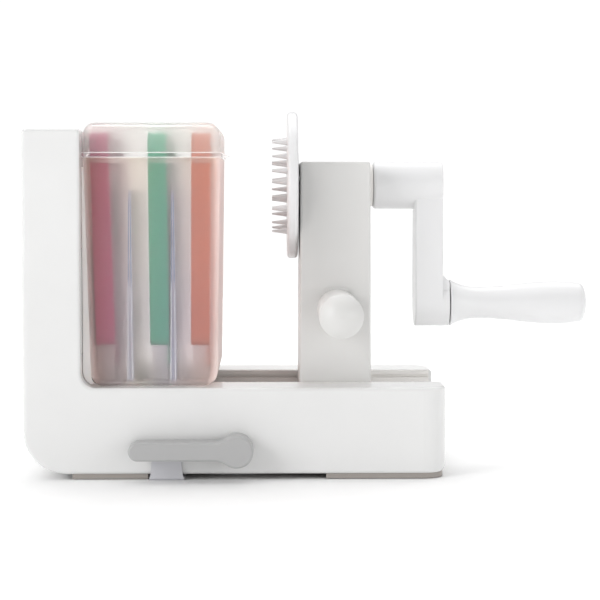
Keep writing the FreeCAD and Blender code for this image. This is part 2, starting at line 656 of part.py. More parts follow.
def make_base_frame():
    """The housing: column and base in one moulding, open below, with channel, window and slot."""
    body = new_body("base_frame")
    side_view = shape_of([
        (left + S.heel_radius, S.body_bottom, S.heel_radius),
        (right - S.toe_radius, S.body_bottom),
        (right, S.body_bottom + S.toe_radius, S.toe_radius), (right, S.rail_top),
        (column_face + S.throat_radius, S.rail_top),
        (column_face, S.rail_top + S.throat_radius, -S.throat_radius),
        (column_face, S.column_top - S.rim_radius),
        (column_face - S.rim_radius, S.column_top, S.rim_radius),
        (left + S.crown_radius, S.column_top),
        (left, S.column_top - S.crown_radius, S.crown_radius),
        (left, S.body_bottom + S.heel_radius),
    ])
    pad(body, "XZ_Plane", side_view, -side, side)
    corners = [corner_waste(right, 1, way, S.end_radius) for way in (-1, 1)]
    corners += [corner_waste(left, -1, way, S.back_radius) for way in (-1, 1)]
    bottom, top = S.body_bottom - S.over, S.column_top + S.over
    pocket(body, "XY_Plane", shape_of(*corners), bottom, top)

    channel = rectangle(column_face, right + S.over, -liner_back, liner_back)
    pocket(body, "XY_Plane", shape_of(channel), S.channel_floor,
           S.rail_top + S.throat_radius + S.over)
    window = [
        (-S.window_radius, top), (-S.window_radius, S.crank_level),
        (0, S.crank_level - S.window_radius, S.window_radius),
        (S.window_radius, S.crank_level, S.window_radius), (S.window_radius, top),
    ]
    pocket(body, "YZ_Plane", shape_of(window), left - S.over, column_face + S.over)
    slot = rectangle(slot_low, slot_high, -slot_half, slot_half)
    pocket(body, "XY_Plane", shape_of(slot), slot_floor, top)
    for way in (-1, 1):
        soften(body, S.rim_radius, lambda p, e, way=way: near(p.y, way * side))

    heel_inside = S.heel_radius - S.wall
    leg = [
        (column_hollow_right, bottom), (left + S.heel_radius, bottom),
        (left + S.heel_radius, S.body_bottom + S.wall),
        (left + S.wall, S.body_bottom + S.heel_radius, -heel_inside),
        (left + S.wall, hollow_top), (slot_low - S.wall, hollow_top),
        (slot_low - S.wall, slot_floor - S.wall), (column_hollow_right, slot_floor - S.wall),
    ]
    pocket(body, "XZ_Plane", shape_of(leg), -inside, inside)
    spine = rectangle(spine_left, right - S.wall, -S.spine_half, S.spine_half)
    pocket(body, "XY_Plane", shape_of(spine), bottom, S.channel_floor - S.floor_wall)
    corner = S.end_radius - S.wall
    hollow = [
        (spine_left, S.hollow_inner), (right - S.wall, S.hollow_inner),
        (right - S.wall, inside - corner), (right - S.wall - corner, inside, corner),
        (spine_left, inside),
    ]
    pocket(body, "XY_Plane", shape_of(hollow, mirrored_rail(hollow)), bottom, ceiling)
    plate = [
        (cover_left, -inside), (right - S.wall - corner, -inside),
        (right - S.wall, -inside + corner, corner), (right - S.wall, inside - corner),
        (right - S.wall - corner, inside, corner), (cover_left, inside),
    ]
    pocket(body, "XY_Plane", shape_of(plate), bottom, cover_top)
    bosses = circles_of(*[(x, y, S.boss_radius) for x, y in SCREW_SPOTS])
    pad(body, "XY_Plane", bosses, cover_top, ceiling + S.over)
    pilots = circles_of(*[(x, y, S.screw_radius + S.press_gap) for x, y in SCREW_SPOTS])
    pocket(body, "XY_Plane", pilots, cover_top - S.over, cover_top + S.screw_reach + S.over)

    bush_hole = circles_of((S.lever_x, S.lever_level, S.lever_bush_radius + S.press_gap))
    pocket(body, "XZ_Plane", bush_hole, -side - S.over, S.over - inside)
    shaft_hole = circles_of((S.lever_x, S.lever_level, S.camshaft_radius + S.shaft_gap))
    pocket(body, "XZ_Plane", shaft_hole, -S.hollow_inner - S.over, S.over - S.spine_half)
    pocket(body, "XZ_Plane", shaft_hole, S.spine_half - S.over, shaft_end + S.seat_gap)
    for way in (-1, 1):
        recess_low, recess_high = recess_sides(way)
        recess = shape_of(rectangle(recess_low, recess_high, S.recess_bottom, S.recess_top))
        pocket(body, "YZ_Plane", recess, column_face - S.recess_depth, column_face + S.over)
        middle = (recess_low + recess_high) / 2
        rib = rectangle(middle - S.rib_wall / 2, middle + S.rib_wall / 2,
                        S.recess_bottom - S.over, S.recess_top + S.over)
        pad(body, "YZ_Plane", shape_of(rib), column_face - S.recess_depth - S.over, column_face)
    return body


def corner_waste(x, x_way, y_way, radius):
    """What a rounded corner takes off, seen from above."""
    y = y_way * side
    turning = -x_way * y_way
    far_x, far_y = x + x_way * S.over, y + y_way * S.over
    return [
        (x - x_way * radius, y), (x, y - y_way * radius, turning * radius),
        (far_x, y - y_way * radius), (far_x, far_y), (x - x_way * radius, far_y),
    ]


def recess_sides(way):
    """The two sides of the shallow recess in a leg of the column."""
    far = side - S.recess_margin
    close = S.window_radius + S.recess_margin
    return (close, far) if way > 0 else (-far, -close)


def mirrored_rail(points):
    """An outline in the front rail from one in the back rail, turning the same way."""
    flipped = [(point[0], -point[1]) for point in points]
    result = flipped[:1]
    for index in range(len(points) - 1, 0, -1):
        follower = points[(index + 1) % len(points)]
        bulge = (follower[2],) if len(follower) > 2 else ()
        result.append(flipped[index] + bulge)
    return result


def make_rail_liner(label, way):
    """A strip on the inner face of a rail, with the groove that guides the carriage."""
    inner = S.channel_width / 2
    outer = liner_back - S.press_gap
    groove = inner + S.groove_depth
    low = S.groove_level - S.groove_height / 2
    high = S.groove_level + S.groove_height / 2
    section = [
        (inner, S.channel_floor + S.press_gap), (outer, S.channel_floor + S.press_gap),
        (outer, S.rail_top - S.liner_setback), (inner, S.rail_top - S.liner_setback),
        (inner, high), (groove, high), (groove, low), (inner, low),
    ]
    if way < 0:
        section = mirrored_outline(section)
    body = new_body(label)
    pad(body, "YZ_Plane", shape_of(section), column_face + S.press_gap, right - S.liner_end)
    return body


def make_bottom_cover():
    """The plate that closes the housing from below, with a low skirt that is open at the cup."""
    body = new_body("bottom_cover")
    start = cover_left + S.press_gap
    plate = open_end_plate(start, cover_right - S.press_gap, inside - S.press_gap,
                           S.end_radius - S.wall)
    pad(body, "XY_Plane", shape_of(plate), S.skirt_bottom, cover_top - S.press_gap)
    skirt_right, skirt_side = right - S.skirt_inset, side - S.skirt_inset
    skirt = open_end_plate(start, skirt_right, skirt_side, S.end_radius - S.skirt_inset)
    pad(body, "XY_Plane", shape_of(skirt), S.skirt_bottom, S.body_bottom - S.press_gap)
    below = S.skirt_bottom - S.over
    hollow = rectangle(start + S.skirt_end_width, skirt_right - S.skirt_end_width,
                       S.skirt_width - skirt_side, skirt_side - S.skirt_width)
    pocket(body, "XY_Plane", shape_of(hollow), below, cover_bottom)
    opening = rectangle(S.lever_x - S.skirt_opening, S.lever_x + S.skirt_opening, -side, side)
    pocket(body, "XY_Plane", shape_of(opening), below, cover_bottom)
    holes = [(S.lever_x, 0, S.cover_hole_radius)]
    holes += [(x, y, S.screw_radius + S.screw_pass) for x, y in SCREW_SPOTS]
    holes += [(x, y, S.foot_peg_radius + S.press_gap) for x, y in FOOT_SPOTS]
    pocket(body, "XY_Plane", circles_of(*holes), cover_bottom - S.over, cover_top + S.over)
    return body


def open_end_plate(low_x, high_x, half, corner):
    """A plate's outline with round corners at the housing's open end."""
    return [
        (low_x, -half), (high_x - corner, -half), (high_x, corner - half, corner),
        (high_x, half - corner), (high_x - corner, half, corner), (low_x, half),
    ]


def round_bar(label, radius, low, high, x, y, top_radius=None):
    """An upright cylinder or cone between two levels, as a Part primitive."""
    if top_radius is None:
        bar = doc.addObject("Part::Cylinder", label)
        bind(bar, "Radius", radius)
    else:
        bar = doc.addObject("Part::Cone", label)
        bind(bar, "Radius1", radius)
        bind(bar, "Radius2", top_radius)
    bind(bar, "Height", high - low)
    locate(bar, x, y, low)
    return bar


def joined(label, pieces):
    """The union of a few primitives."""
    union = doc.addObject("Part::MultiFuse", label)
    union.Shapes = pieces
    return union


def new_group(label, pieces):
    """One node that holds several equal solids."""
    group = doc.addObject("Part::Compound", label)
    group.Links = pieces
    group.Label = label
    NODES.append(group)
    return group


def make_screws(label, spots, seat, reach):
    """Pan-head screws driven upwards; the head's upper face lies on the seat."""
    screws = []
    for x, y in spots:
        head = round_bar("Head", S.screw_head_radius - S.screw_head_taper,
                         seat - S.screw_head_height, seat, x, y, top_radius=S.screw_head_radius)
        shank = round_bar("Shank", S.screw_radius, seat, seat + reach, x, y)
        screws.append(joined("Screw", [head, shank]))
    return new_group(label, screws)


def make_rubber_feet():
    """Four feet, each held by a peg in the bottom cover."""
    feet = []
    for x, y in FOOT_SPOTS:
        pad_part = round_bar("Pad", S.foot_radius - S.foot_taper, as_size(0), cover_bottom, x, y,
                             top_radius=S.foot_radius)
        peg = round_bar("Peg", S.foot_peg_radius, cover_bottom, cover_top - S.press_gap, x, y)
        feet.append(joined("Foot", [pad_part, peg]))
    return new_group("rubber_feet", feet)


def make_lever_bush():
    """The flanged bearing of the lever's shaft in the front wall."""
    body = new_body("lever_bush")
    inner = S.camshaft_radius + S.shaft_gap
    turn(body, [
        (inner, lever_inner + S.seat_gap), (S.lever_collar_radius, lever_inner + S.seat_gap),
        (S.lever_collar_radius, -side), (S.lever_bush_radius, -side),
        (S.lever_bush_radius, -inside), (inner, -inside),
    ], role="XY_Plane")
    locate(body, S.lever_x, 0, S.lever_level)
    return body


def make_suction_cup():
    """The rubber cup with the pocket for the stem's foot, and its release tab in front."""
    body = new_body("suction_cup")
    rim = cover_bottom - S.seat_gap
    pocket_low = stem_low - S.seat_gap
    pocket_high = stem_low + S.stem_foot_height + S.seat_gap
    turn(body, [
        (0, 0), (S.cup_radius, 0), (S.cup_radius, rim),
        (S.cup_radius - S.cup_rim_width, rim),
        (S.cup_radius - S.cup_rim_width - S.cup_slope, S.cup_skin),
        (S.cup_boss_radius + S.cup_slope, S.cup_skin),
        (S.cup_boss_radius, S.cup_skin + S.cup_slope),
        (S.cup_boss_radius, S.cup_boss_height), (S.stem_radius + S.seat_gap, S.cup_boss_height),
        (S.stem_radius + S.seat_gap, pocket_high), (S.stem_foot_radius + S.seat_gap, pocket_high),
        (S.stem_foot_radius + S.seat_gap, pocket_low), (0, pocket_low),
    ])
    low_x = S.tab_middle - S.lever_x - S.tab_width / 2
    high_x = S.tab_middle - S.lever_x + S.tab_width / 2
    face = -side - S.tab_standoff
    foot_low, foot_high = low_x - S.tab_flare, high_x + S.tab_flare
    tongue = rectangle(foot_low, foot_high, face - S.tab_skin, -S.cup_boss_radius)
    pad(body, "XY_Plane", shape_of(tongue), as_size(0), S.tab_skin)
    corner = S.tab_corner
    upright = [
        (foot_low, 0, -S.tab_sweep), (foot_high, 0), (high_x, S.tab_top - corner, -S.tab_sweep),
        (high_x - corner, S.tab_top, corner), (low_x + corner, S.tab_top),
        (low_x, S.tab_top - corner, corner),
    ]
    pad(body, "XZ_Plane", shape_of(upright), face - S.tab_skin, face)
    soften(body, S.tab_bend, lambda p, e: near(p.y, face - S.tab_skin) and near(p.z, 0))
    locate(body, S.lever_x)
    return body


# ---------------------------------------------------------------- suction lever and its cam


def cam_outline(sketch):
    """A heart-shaped cam: its radius grows evenly with the angle, the same on both sides."""
    steps = 8
    points = []
    for index in range(-steps, steps):
        angle = math.pi * index / steps
        radius = S.cam_low + S.cam_lift * (abs(index) / steps)
        middle = S.cam_low + S.cam_lift * (abs(index - 0.5) / steps)
        x, z = radius * math.sin(angle), radius * math.cos(angle)
        points.append((x, z, -middle))
    draw_outline(sketch, points)


def make_cam_shaft():
    """The lever's shaft: a square end in the lever, and the cam over the suction cup."""
    body = new_body("cam_shaft")
    turn(body, [
        (0, lever_inner), (S.camshaft_radius, lever_inner),
        (S.camshaft_radius, shaft_end), (0, shaft_end),
    ], role="XY_Plane")
    half = S.camshaft_square / 2
    square = shape_of(rectangle(-half, half, -half, half))
    pad(body, "XZ_Plane", square, lever_inner - S.square_reach, lever_inner + S.over)
    pad(body, "XZ_Plane", cam_outline, -S.cam_width / 2, S.cam_width / 2)
    locate(body, S.lever_x, 0, S.lever_level)
    return body


def make_suction_lever():
    """The lever: a round hub that flows into a straight arm with a round tip."""
    body = new_body("suction_lever")
    hub = S.lever_hub_radius
    half = S.lever_tip_radius
    blend = S.lever_blend_radius
    reach = hub + blend
    rise = half + blend
    blend_x = -(reach * reach - rise * rise).root()
    neck_x, neck_z = blend_x * hub / reach, rise * hub / reach
    outline = [
        (0, hub, hub), (neck_x, neck_z, hub), (blend_x, half, -blend),
        (-S.lever_reach, half), (-S.lever_reach - half, 0, half), (-S.lever_reach, -half, half),
        (blend_x, -half), (neck_x, -neck_z, -blend), (0, -hub, hub), (hub, 0, hub),
    ]
    pad(body, "XZ_Plane", shape_of(outline), lever_inner - S.lever_thickness, lever_inner)
    half = S.camshaft_square / 2 + S.press_gap
    square = shape_of(rectangle(-half, half, -half, half))
    pocket(body, "XZ_Plane", square, lever_inner - S.square_reach - S.seat_gap,
           lever_inner + S.over)
    outer = lever_inner - S.lever_thickness
    soften(body, S.lever_bevel, lambda p, e: near(p.y, outer), kind="PartDesign::Chamfer")
    locate(body, S.lever_x, 0, S.lever_level)
    return body


def make_cup_stem():
    """The yoke round the cam, with the stem and foot that lift the middle of the cup."""
    body = new_body("cup_stem")
    highest = S.cam_low + S.cam_lift
    crest = S.cam_lift * S.cam_lift / (2 * math.pi ** 2 * S.cam_low)
    window_half = highest + S.seat_gap
    window_top = S.cam_low + crest + S.slide_gap
    window_bottom = -highest - S.slide_gap
    outer = rectangle(-window_half - S.yoke_wall, window_half + S.yoke_wall,
                      window_bottom - S.yoke_wall, window_top + S.yoke_wall)
    window = rectangle(-window_half, window_half, window_bottom, window_top)
    pad(body, "XZ_Plane", shape_of(outer, window), -S.cam_width / 2, S.cam_width / 2)
    foot_low = stem_low - S.lever_level
    foot_high = foot_low + S.stem_foot_height
    turn(body, [
        (0, foot_low), (S.stem_foot_radius, foot_low), (S.stem_foot_radius, foot_high),
        (S.stem_radius, foot_high), (S.stem_radius, window_bottom - S.yoke_wall / 2),
        (0, window_bottom - S.yoke_wall / 2),
    ])
    locate(body, S.lever_x, 0, S.lever_level)
    return body


# ---------------------------------------------------------------- carriage


def make_carriage_post():
    """The hollow post: it stands in the channel and carries the crank's bushes."""
    body = new_body("carriage_post")
    outline = [
        (-post_foot_half, post_low), (post_foot_half, post_low),
        (post_top_half, S.post_top), (-post_top_half, S.post_top),
    ]
    pad(body, "XZ_Plane", shape_of(outline), -post_half, post_half)
    soften(body, S.post_edge, lambda p, e: not near(p.z, post_low))
    wall = S.post_wall
    inner = [
        (wall - post_foot_half, post_low - S.over), (post_foot_half - wall, post_low - S.over),
        (post_top_half - wall, S.post_top - wall), (wall - post_top_half, S.post_top - wall),
    ]
    pocket(body, "XZ_Plane", shape_of(inner), wall - post_half, post_half - wall)
    bores = circles_of((0, S.crank_level, S.bush_barrel_radius + S.press_gap))
    pocket(body, "YZ_Plane", bores, -post_foot_half - S.over, post_foot_half + S.over)
    bosses = circles_of(*[(x, y, S.shoe_boss_radius) for x, y in shoe_spots()])
    pad(body, "XY_Plane", bosses, post_low, post_low + S.shoe_boss_height)
    ties = [rectangle(x * tie_inner, x * tie_outer, y - wall / 2, y + wall / 2)
            if x > 0 else rectangle(x * tie_outer, x * tie_inner, y - wall / 2, y + wall / 2)
            for x in (-1, 1) for y in (-S.shoe_screw_y, S.shoe_screw_y)]
    pad(body, "XY_Plane", shape_of(*ties), post_low, post_low + S.shoe_boss_height)
    pilots = circles_of(*[(x, y, S.screw_radius + S.press_gap) for x, y in shoe_spots()])
    pocket(body, "XY_Plane", pilots, post_low - S.over, post_low + S.shoe_boss_height - wall)
    hole = circles_of((handle_x - post_x, S.handle_level, S.handle_screw_radius + S.screw_pass))
    pocket(body, "XZ_Plane", hole, -post_half - S.over, wall + S.over - post_half)
    key_middle = handle_x - post_x
    key_top = S.handle_level + S.handle_base_radius + S.key_rise
    key = rectangle(key_middle - S.key_width / 2, key_middle + S.key_width / 2,
                    key_top - S.key_height, key_top)
    pad(body, "XZ_Plane", shape_of(key), -post_half - S.key_depth, wall / 2 - post_half)
    seat = circles_of((key_middle, S.handle_level, S.handle_base_radius + S.press_gap))
    pocket(body, "XZ_Plane", seat, -post_half - S.key_depth - S.over, -post_half)
    for way in (-1, 1):
        low, high = post_half - S.over, post_half + S.groove_depth
        if way < 0:
            low, high = -high, -low
        lug = rectangle(-post_foot_half, post_foot_half, lug_low, lug_high)
        pad(body, "XZ_Plane", shape_of(lug), low, high)
    locate(body, post_x)
    return body


def shoe_spots():
    """The places of the shoe screws, from the middle of the post."""
    return [(x * S.shoe_screw_x, y * S.shoe_screw_y) for x in (-1, 1) for y in (-1, 1)]


def make_carriage_shoe():
    """The plate that closes the post below and glides over the channel's floor."""
    body = new_body("carriage_shoe")
    plate = rectangle(-post_foot_half, post_foot_half, -post_half, post_half)
    pad(body, "XY_Plane", shape_of(plate), shoe_low, post_low)
    holes = [(x, y, S.screw_radius + S.screw_pass) for x, y in shoe_spots()]
    pocket(body, "XY_Plane", circles_of(*holes), shoe_low - S.over, post_low + S.over)
    wells = [(x, y, S.screw_head_radius + S.screw_pass) for x, y in shoe_spots()]
    pocket(body, "XY_Plane", circles_of(*wells), shoe_low - S.over, shoe_low + shoe_well)
    locate(body, post_x)
    return body


def make_crank_bush(label, way):
    """A flanged bearing in a wall of the post; its collar is inside or outside the wall."""
    body = new_body(label)
    inner = S.shaft_radius + S.shaft_gap
    barrel = S.bush_barrel_radius
    if way < 0:
        collar = S.inner_collar_radius
        start = S.seat_gap - post_crank_half
        middle = S.post_wall + S.seat_gap - post_crank_half
        end = middle + S.bush_collar_width
    else:
        collar = S.bush_collar_radius
        start = post_crank_half - S.post_wall - S.bush_past_wall
        middle = post_collar_half + S.press_gap
        end = hub_start - post_x - S.seat_gap
    turn(body, [
        (start, inner), (end, inner), (end, collar), (middle, collar), (middle, barrel),
        (start, barrel),
    ], axis="H_Axis")
    locate(body, post_x, 0, S.crank_level)
    return body


def make_push_handle():
    """The round handle on the front of the post, with a domed end."""
    body = new_body("push_handle")
    start = -post_half
    end = start - S.handle_length
    shoulder = end + S.handle_dome
    bore = S.handle_screw_radius + S.press_gap
    dome = (S.handle_end_radius * S.handle_end_radius + S.handle_dome * S.handle_dome) / (
        2 * S.handle_dome)
    depth = start - S.handle_screw_reach - S.over
    turn(body, [
        (bore, start), (bore, depth), (0, depth), (0, end), (S.handle_end_radius, shoulder, dome),
        (S.handle_base_radius, start),
    ], role="XY_Plane")
    soften(body, S.post_edge, lambda p, e: near(p.y, shoulder))
    locate(body, handle_x, 0, S.handle_level)
    return body


def make_handle_screw():
    """The screw that holds the push handle from inside the post."""
    body = new_body("handle_screw")
    seat = S.post_wall - post_half
    tip = -post_half - S.handle_screw_reach
    turn(body, [
        (0, tip), (S.handle_screw_radius, tip), (S.handle_screw_radius, seat),
        (S.handle_screw_head, seat), (S.handle_screw_head, seat + S.head_height),
        (0, seat + S.head_height),
    ], role="XY_Plane")
    locate(body, handle_x, 0, S.handle_level)
    return body


# ---------------------------------------------------------------- crank and grip


def make_crank_shaft():
    """The shaft from the food holder to the crank, with a square at each end."""
    body = new_body("crank_shaft")
    start = holder_front + S.holder_thickness + S.holder_hub_rise
    end = hub_start + S.hub_bore_depth
    outline = [(start, 0), (end, 0), (end, S.shaft_radius), (start, S.shaft_radius)]
    turn(body, outline, axis="H_Axis")
    half = S.shaft_square / 2
    square = shape_of(rectangle(-half, half, -half, half))
    pad(body, "YZ_Plane", square, start - S.holder_socket + S.press_gap, start + S.over)
    tip = end + S.square_depth - S.press_gap
    pad(body, "YZ_Plane", square, end - S.over, tip)
    pilot = circles_of((0, 0, S.shaft_screw_radius + S.press_gap))
    pocket(body, "YZ_Plane", pilot, tip - S.shaft_screw_reach - S.over, tip + S.over)
    locate(body, 0, 0, S.crank_level)
    return body


def make_food_holder():
    """The round disc with three rings of spikes that hold the food."""
    body = new_body("food_holder")
    front = holder_front
    back = front + S.holder_thickness
    edge = S.holder_edge
    rim = S.holder_radius
    turn(body, [
        (front, 0), (back + S.holder_hub_rise, 0), (back + S.holder_hub_rise, S.holder_hub_radius),
        (back, S.holder_hub_radius + S.holder_hub_slope), (back, rim - edge),
        (back - edge, rim, edge),
        (front + edge, rim), (front, rim - edge, edge),
    ], axis="H_Axis")
    half = S.shaft_square / 2 + S.press_gap
    start = back + S.holder_hub_rise
    socket = shape_of(rectangle(-half, half, -half, half))
    pocket(body, "YZ_Plane", socket, start - S.holder_socket, start + S.over)
    for ring, count, degrees in SPIKE_RINGS:
        angle = math.radians(degrees)
        spike = body.newObject("PartDesign::AdditiveCone", "Spike")
        spike.AttachmentSupport = [(plane_of(body, "YZ_Plane"), "")]
        spike.MapMode = "FlatFace"
        bind(spike, "Radius1", S.spike_tip_radius)
        bind(spike, "Radius2", S.spike_base_radius)
        bind(spike, "Height", S.spike_length)
        bind(spike, "AttachmentOffset.Base.x", ring * math.sin(angle))
        bind(spike, "AttachmentOffset.Base.y", ring * math.cos(angle))
        bind(spike, "AttachmentOffset.Base.z", front - S.spike_length)
        body.Tip = spike
        doc.recompute()
        pattern = body.newObject("PartDesign::PolarPattern", "Ring")
        pattern.Originals = [spike]
        pattern.Axis = (plane_of(body, "X_Axis"), [""])
        pattern.Angle = 360
        pattern.Occurrences = count
        body.Tip = pattern
        doc.recompute()
    locate(body, 0, 0, S.crank_level)
    return body


def make_crank_arm():
    """The crank: a long hub, the arm that hangs from it and the thick pad for the grip."""
    body = new_body("crank_arm")
    hub = S.hub_radius
    turn(body, [
        (hub_start, 0), (arm_end, 0), (arm_end, hub), (hub_start, hub),
    ], axis="H_Axis")
    drop = S.crank_radius
    end = S.arm_end_radius
    neck = S.arm_neck
    neck_z = -(hub * hub - neck * neck).root()
    arm = [
        (-hub, 0, hub), (-neck, neck_z, hub), (-end, -drop), (0, -drop - end, end),
        (end, -drop, end), (neck, neck_z), (hub, 0, hub), (0, hub, hub),
    ]
    pad(body, "YZ_Plane", shape_of(arm), arm_start, arm_end)
    soften(body, S.arm_rim, lambda p, e: near(p.x, arm_end))
    ramp = [
        (arm_end - S.over, S.ramp_high + S.over - drop), (arm_end - S.over, -drop),
        (pad_end, -drop),
        (pad_end, S.ramp_low - drop), (arm_end, S.ramp_high - drop),
    ]
    pad(body, "XZ_Plane", shape_of(ramp), -ramp_half, ramp_half)
    pad(body, "YZ_Plane", circles_of((0, -drop, end)), arm_end - S.over, pad_end)
    soften(body, S.arm_edge, lambda p, e: near(p.x, arm_start))
    soften(body, S.hub_edge, lambda p, e: near(p.x, hub_start))
    bore_end = hub_start + S.hub_bore_depth
    bore = circles_of((0, 0, S.shaft_radius + S.press_gap))
    pocket(body, "YZ_Plane", bore, hub_start - S.over, bore_end)
    half = S.shaft_square / 2 + S.press_gap
    socket = shape_of(rectangle(-half, half, -half, half))
    pocket(body, "YZ_Plane", socket, bore_end - S.over, bore_end + S.square_depth)
    passage = circles_of((0, 0, S.shaft_screw_radius + S.screw_pass))
    pocket(body, "YZ_Plane", passage, bore_end, arm_end + S.over)
    well = circles_of((0, 0, S.shaft_screw_head + S.screw_pass))
    pocket(body, "YZ_Plane", well, screw_seat, arm_end + S.over)
    cap = circles_of((0, 0, S.cap_radius + S.press_gap))
    pocket(body, "YZ_Plane", cap, arm_end - S.cap_depth, arm_end + S.over)
    pin = circles_of((0, -drop, S.pin_radius + S.press_gap))
    pocket(body, "YZ_Plane", pin, pad_end - S.pin_seat, pad_end + S.over)
    locate(body, 0, 0, S.crank_level)
    return body


def make_shaft_screw():
    """The screw that draws the crank onto the shaft."""
    body = new_body("shaft_screw")
    tip = hub_start + S.hub_bore_depth + S.square_depth - S.shaft_screw_reach
    turn(body, [
        (tip, 0), (screw_seat + S.head_height, 0),
        (screw_seat + S.head_height, S.shaft_screw_head), (screw_seat, S.shaft_screw_head),
        (screw_seat, S.shaft_screw_radius), (tip, S.shaft_screw_radius),
    ], axis="H_Axis")
    locate(body, 0, 0, S.crank_level)
    return body


def make_hub_cap():
    """The small domed cap that covers the shaft's screw."""
    body = new_body("hub_cap")
    low = arm_end - S.cap_depth
    radius = S.cap_radius
    dome = (radius * radius + S.cap_rise * S.cap_rise) / (2 * S.cap_rise)
    turn(body, [
        (low, 0), (arm_end + S.cap_rise, 0), (arm_end, radius, dome), (low, radius),
    ], axis="H_Axis")
    locate(body, 0, 0, S.crank_level)
    return body


def make_grip_pin():
    """The headed steel pin in the arm, on which the grip turns."""
    body = new_body("grip_pin")
    start = pad_end - S.pin_seat + S.press_gap
    head = grip_end - S.grip_well_depth + S.seat_gap
    turn(body, [
        (start, 0), (head + S.pin_head_width, 0), (head + S.pin_head_width, S.pin_head_radius),
        (head, S.pin_head_radius), (head, S.pin_radius), (start, S.pin_radius),
    ], axis="H_Axis")
    locate(body, 0, 0, grip_level)
    return body


def sweep_radius(run, rise):
    """The radius of an arc that starts level and rises this much over this run."""
    return (run * run + rise * rise) / (2 * rise)


def make_crank_grip():
    """The turning grip: a flange, a slim neck and a full belly."""
    body = new_body("crank_grip")
    bore = S.pin_radius + S.shaft_gap
    start, neck_x, belly_x, end = grip_start, grip_neck_x, grip_belly_x, grip_end
    flange_end = start + S.grip_flange_width
    neck, belly = S.grip_neck_radius, S.grip_belly_radius
    flange = S.grip_flange_radius
    edge = S.grip_flange_edge
    shoulder = flange - edge
    middle_x, middle = (neck_x + belly_x) / 2, (neck + belly) / 2
    into_neck = sweep_radius(neck_x - flange_end, shoulder - neck)
    swell = sweep_radius((belly_x - neck_x) / 2, (belly - neck) / 2)
    fall = sweep_radius(end - belly_x, belly - S.grip_end_radius)
    turn(body, [
        (start, bore), (end - S.grip_well_depth, bore),
        (end - S.grip_well_depth, S.grip_well_radius), (end, S.grip_well_radius),
        (end, S.grip_end_radius), (belly_x, belly, fall), (middle_x, middle, swell),
        (neck_x, neck, -swell), (flange_end, shoulder, -into_neck),
        (flange_end - edge, flange, edge), (start + edge, flange), (start, flange - edge, edge),
    ], axis="H_Axis")
    locate(body, 0, 0, grip_level)
    return body


def make_grip_cap():
    """The domed cap in the end of the grip, with its spigot in the well."""
    body = new_body("grip_cap")
    end = grip_end
    spigot = S.grip_well_radius - S.press_gap
    shoulder_x = end + S.grip_cap_shoulder
    dome = sweep_radius(S.grip_cap_top_radius, grip_cap_end - shoulder_x)
    turn(body, [
        (end - S.grip_spigot, 0), (grip_cap_end, 0),
        (shoulder_x, S.grip_cap_top_radius, dome),
        (end + S.press_gap, S.grip_end_radius, S.grip_cap_rounding),
        (end + S.press_gap, spigot), (end - S.grip_spigot, spigot),
    ], axis="H_Axis")
    locate(body, 0, 0, grip_level)
    return body


# ---------------------------------------------------------------- blade box and lid


def rounded_rectangle(low_x, high_x, low_y, high_y, radius):
    """A rectangle with round corners, for draw_outline."""
    return [
        (low_x + radius, low_y), (high_x - radius, low_y), (high_x, low_y + radius, radius),
        (high_x, high_y - radius), (high_x - radius, high_y, radius),
        (low_x + radius, high_y), (low_x, high_y - radius, radius),
        (low_x, low_y + radius), (low_x + radius, low_y, radius),
    ][1:]


def tapered_block(label, low, inset):
    """A block that widens upwards to the box's mouth; inset moves its sides inwards."""
    body = doc.addObject("PartDesign::Body", label)
    half = box_half - inset
    outline = [
        (box_low_left + inset, low), (box_low_right - inset, low),
        (box_high_right - inset, S.box_mouth), (box_high_left + inset, S.box_mouth),
    ]
    pad(body, "XZ_Plane", shape_of(outline), -half, half)
    soften(body, S.box_foot_radius - inset, lambda p, e: near(p.z, low) and runs_along(e, Y_WAY))
    soften(body, S.box_corner - inset,
           lambda p, e: near(abs(p.y), half) and not near(p.z, S.box_mouth))
    return body


def make_blade_box():
    """The translucent box: a tapered shell with two hollow fins and ribs to stand blades on."""
    foot = S.rail_top + S.seat_gap
    floor = foot + S.box_wall
    outer = tapered_block("box_outer", foot, as_size(0))
    inner = tapered_block("box_inner", floor, S.box_wall)
    shell = doc.addObject("Part::Cut", "box_shell")
    shell.Base, shell.Tool = outer, inner
    ribs = doc.addObject("PartDesign::Body", "box_ribs")
    cores = doc.addObject("PartDesign::Body", "box_cores")
    for body in (ribs, cores):
        body.AllowCompound = True
    low = floor - S.box_wall / 2
    for middle in (fin_left, fin_right):
        half, tip = S.fin_foot / 2, S.fin_tip / 2
        fin = [(middle - half, low), (middle + half, low),
               (middle + tip, S.fin_top), (middle - tip, S.fin_top)]
        pad(ribs, "XZ_Plane", shape_of(fin), -fin_half, fin_half)
        core_half = half - S.fin_skin
        core = [(middle - core_half, foot - S.over), (middle + core_half, foot - S.over),
                (middle, S.fin_hollow_top)]
        pad(cores, "XZ_Plane", shape_of(core), S.fin_skin - fin_half, fin_half - S.fin_skin)
    for x in (fine_left, wide_left, ribbon_left):
        for way in (-1, 1):
            y = seat_rib_y * way
            rib_x = x + S.seat_rib_inset
            rib = rectangle(rib_x, rib_x + S.seat_rib_width, y - S.seat_rib / 2, y + S.seat_rib / 2)
            pad(ribs, "XY_Plane", shape_of(rib), low, S.cartridge_foot - S.seat_gap)
    union = doc.addObject("Part::Fuse", "box_union")
    union.Base, union.Tool = shell, ribs
    box = doc.addObject("Part::Cut", "blade_box")
    box.Base, box.Tool = union, cores
    box.Label = "blade_box"
    NODES.append(box)
    return box


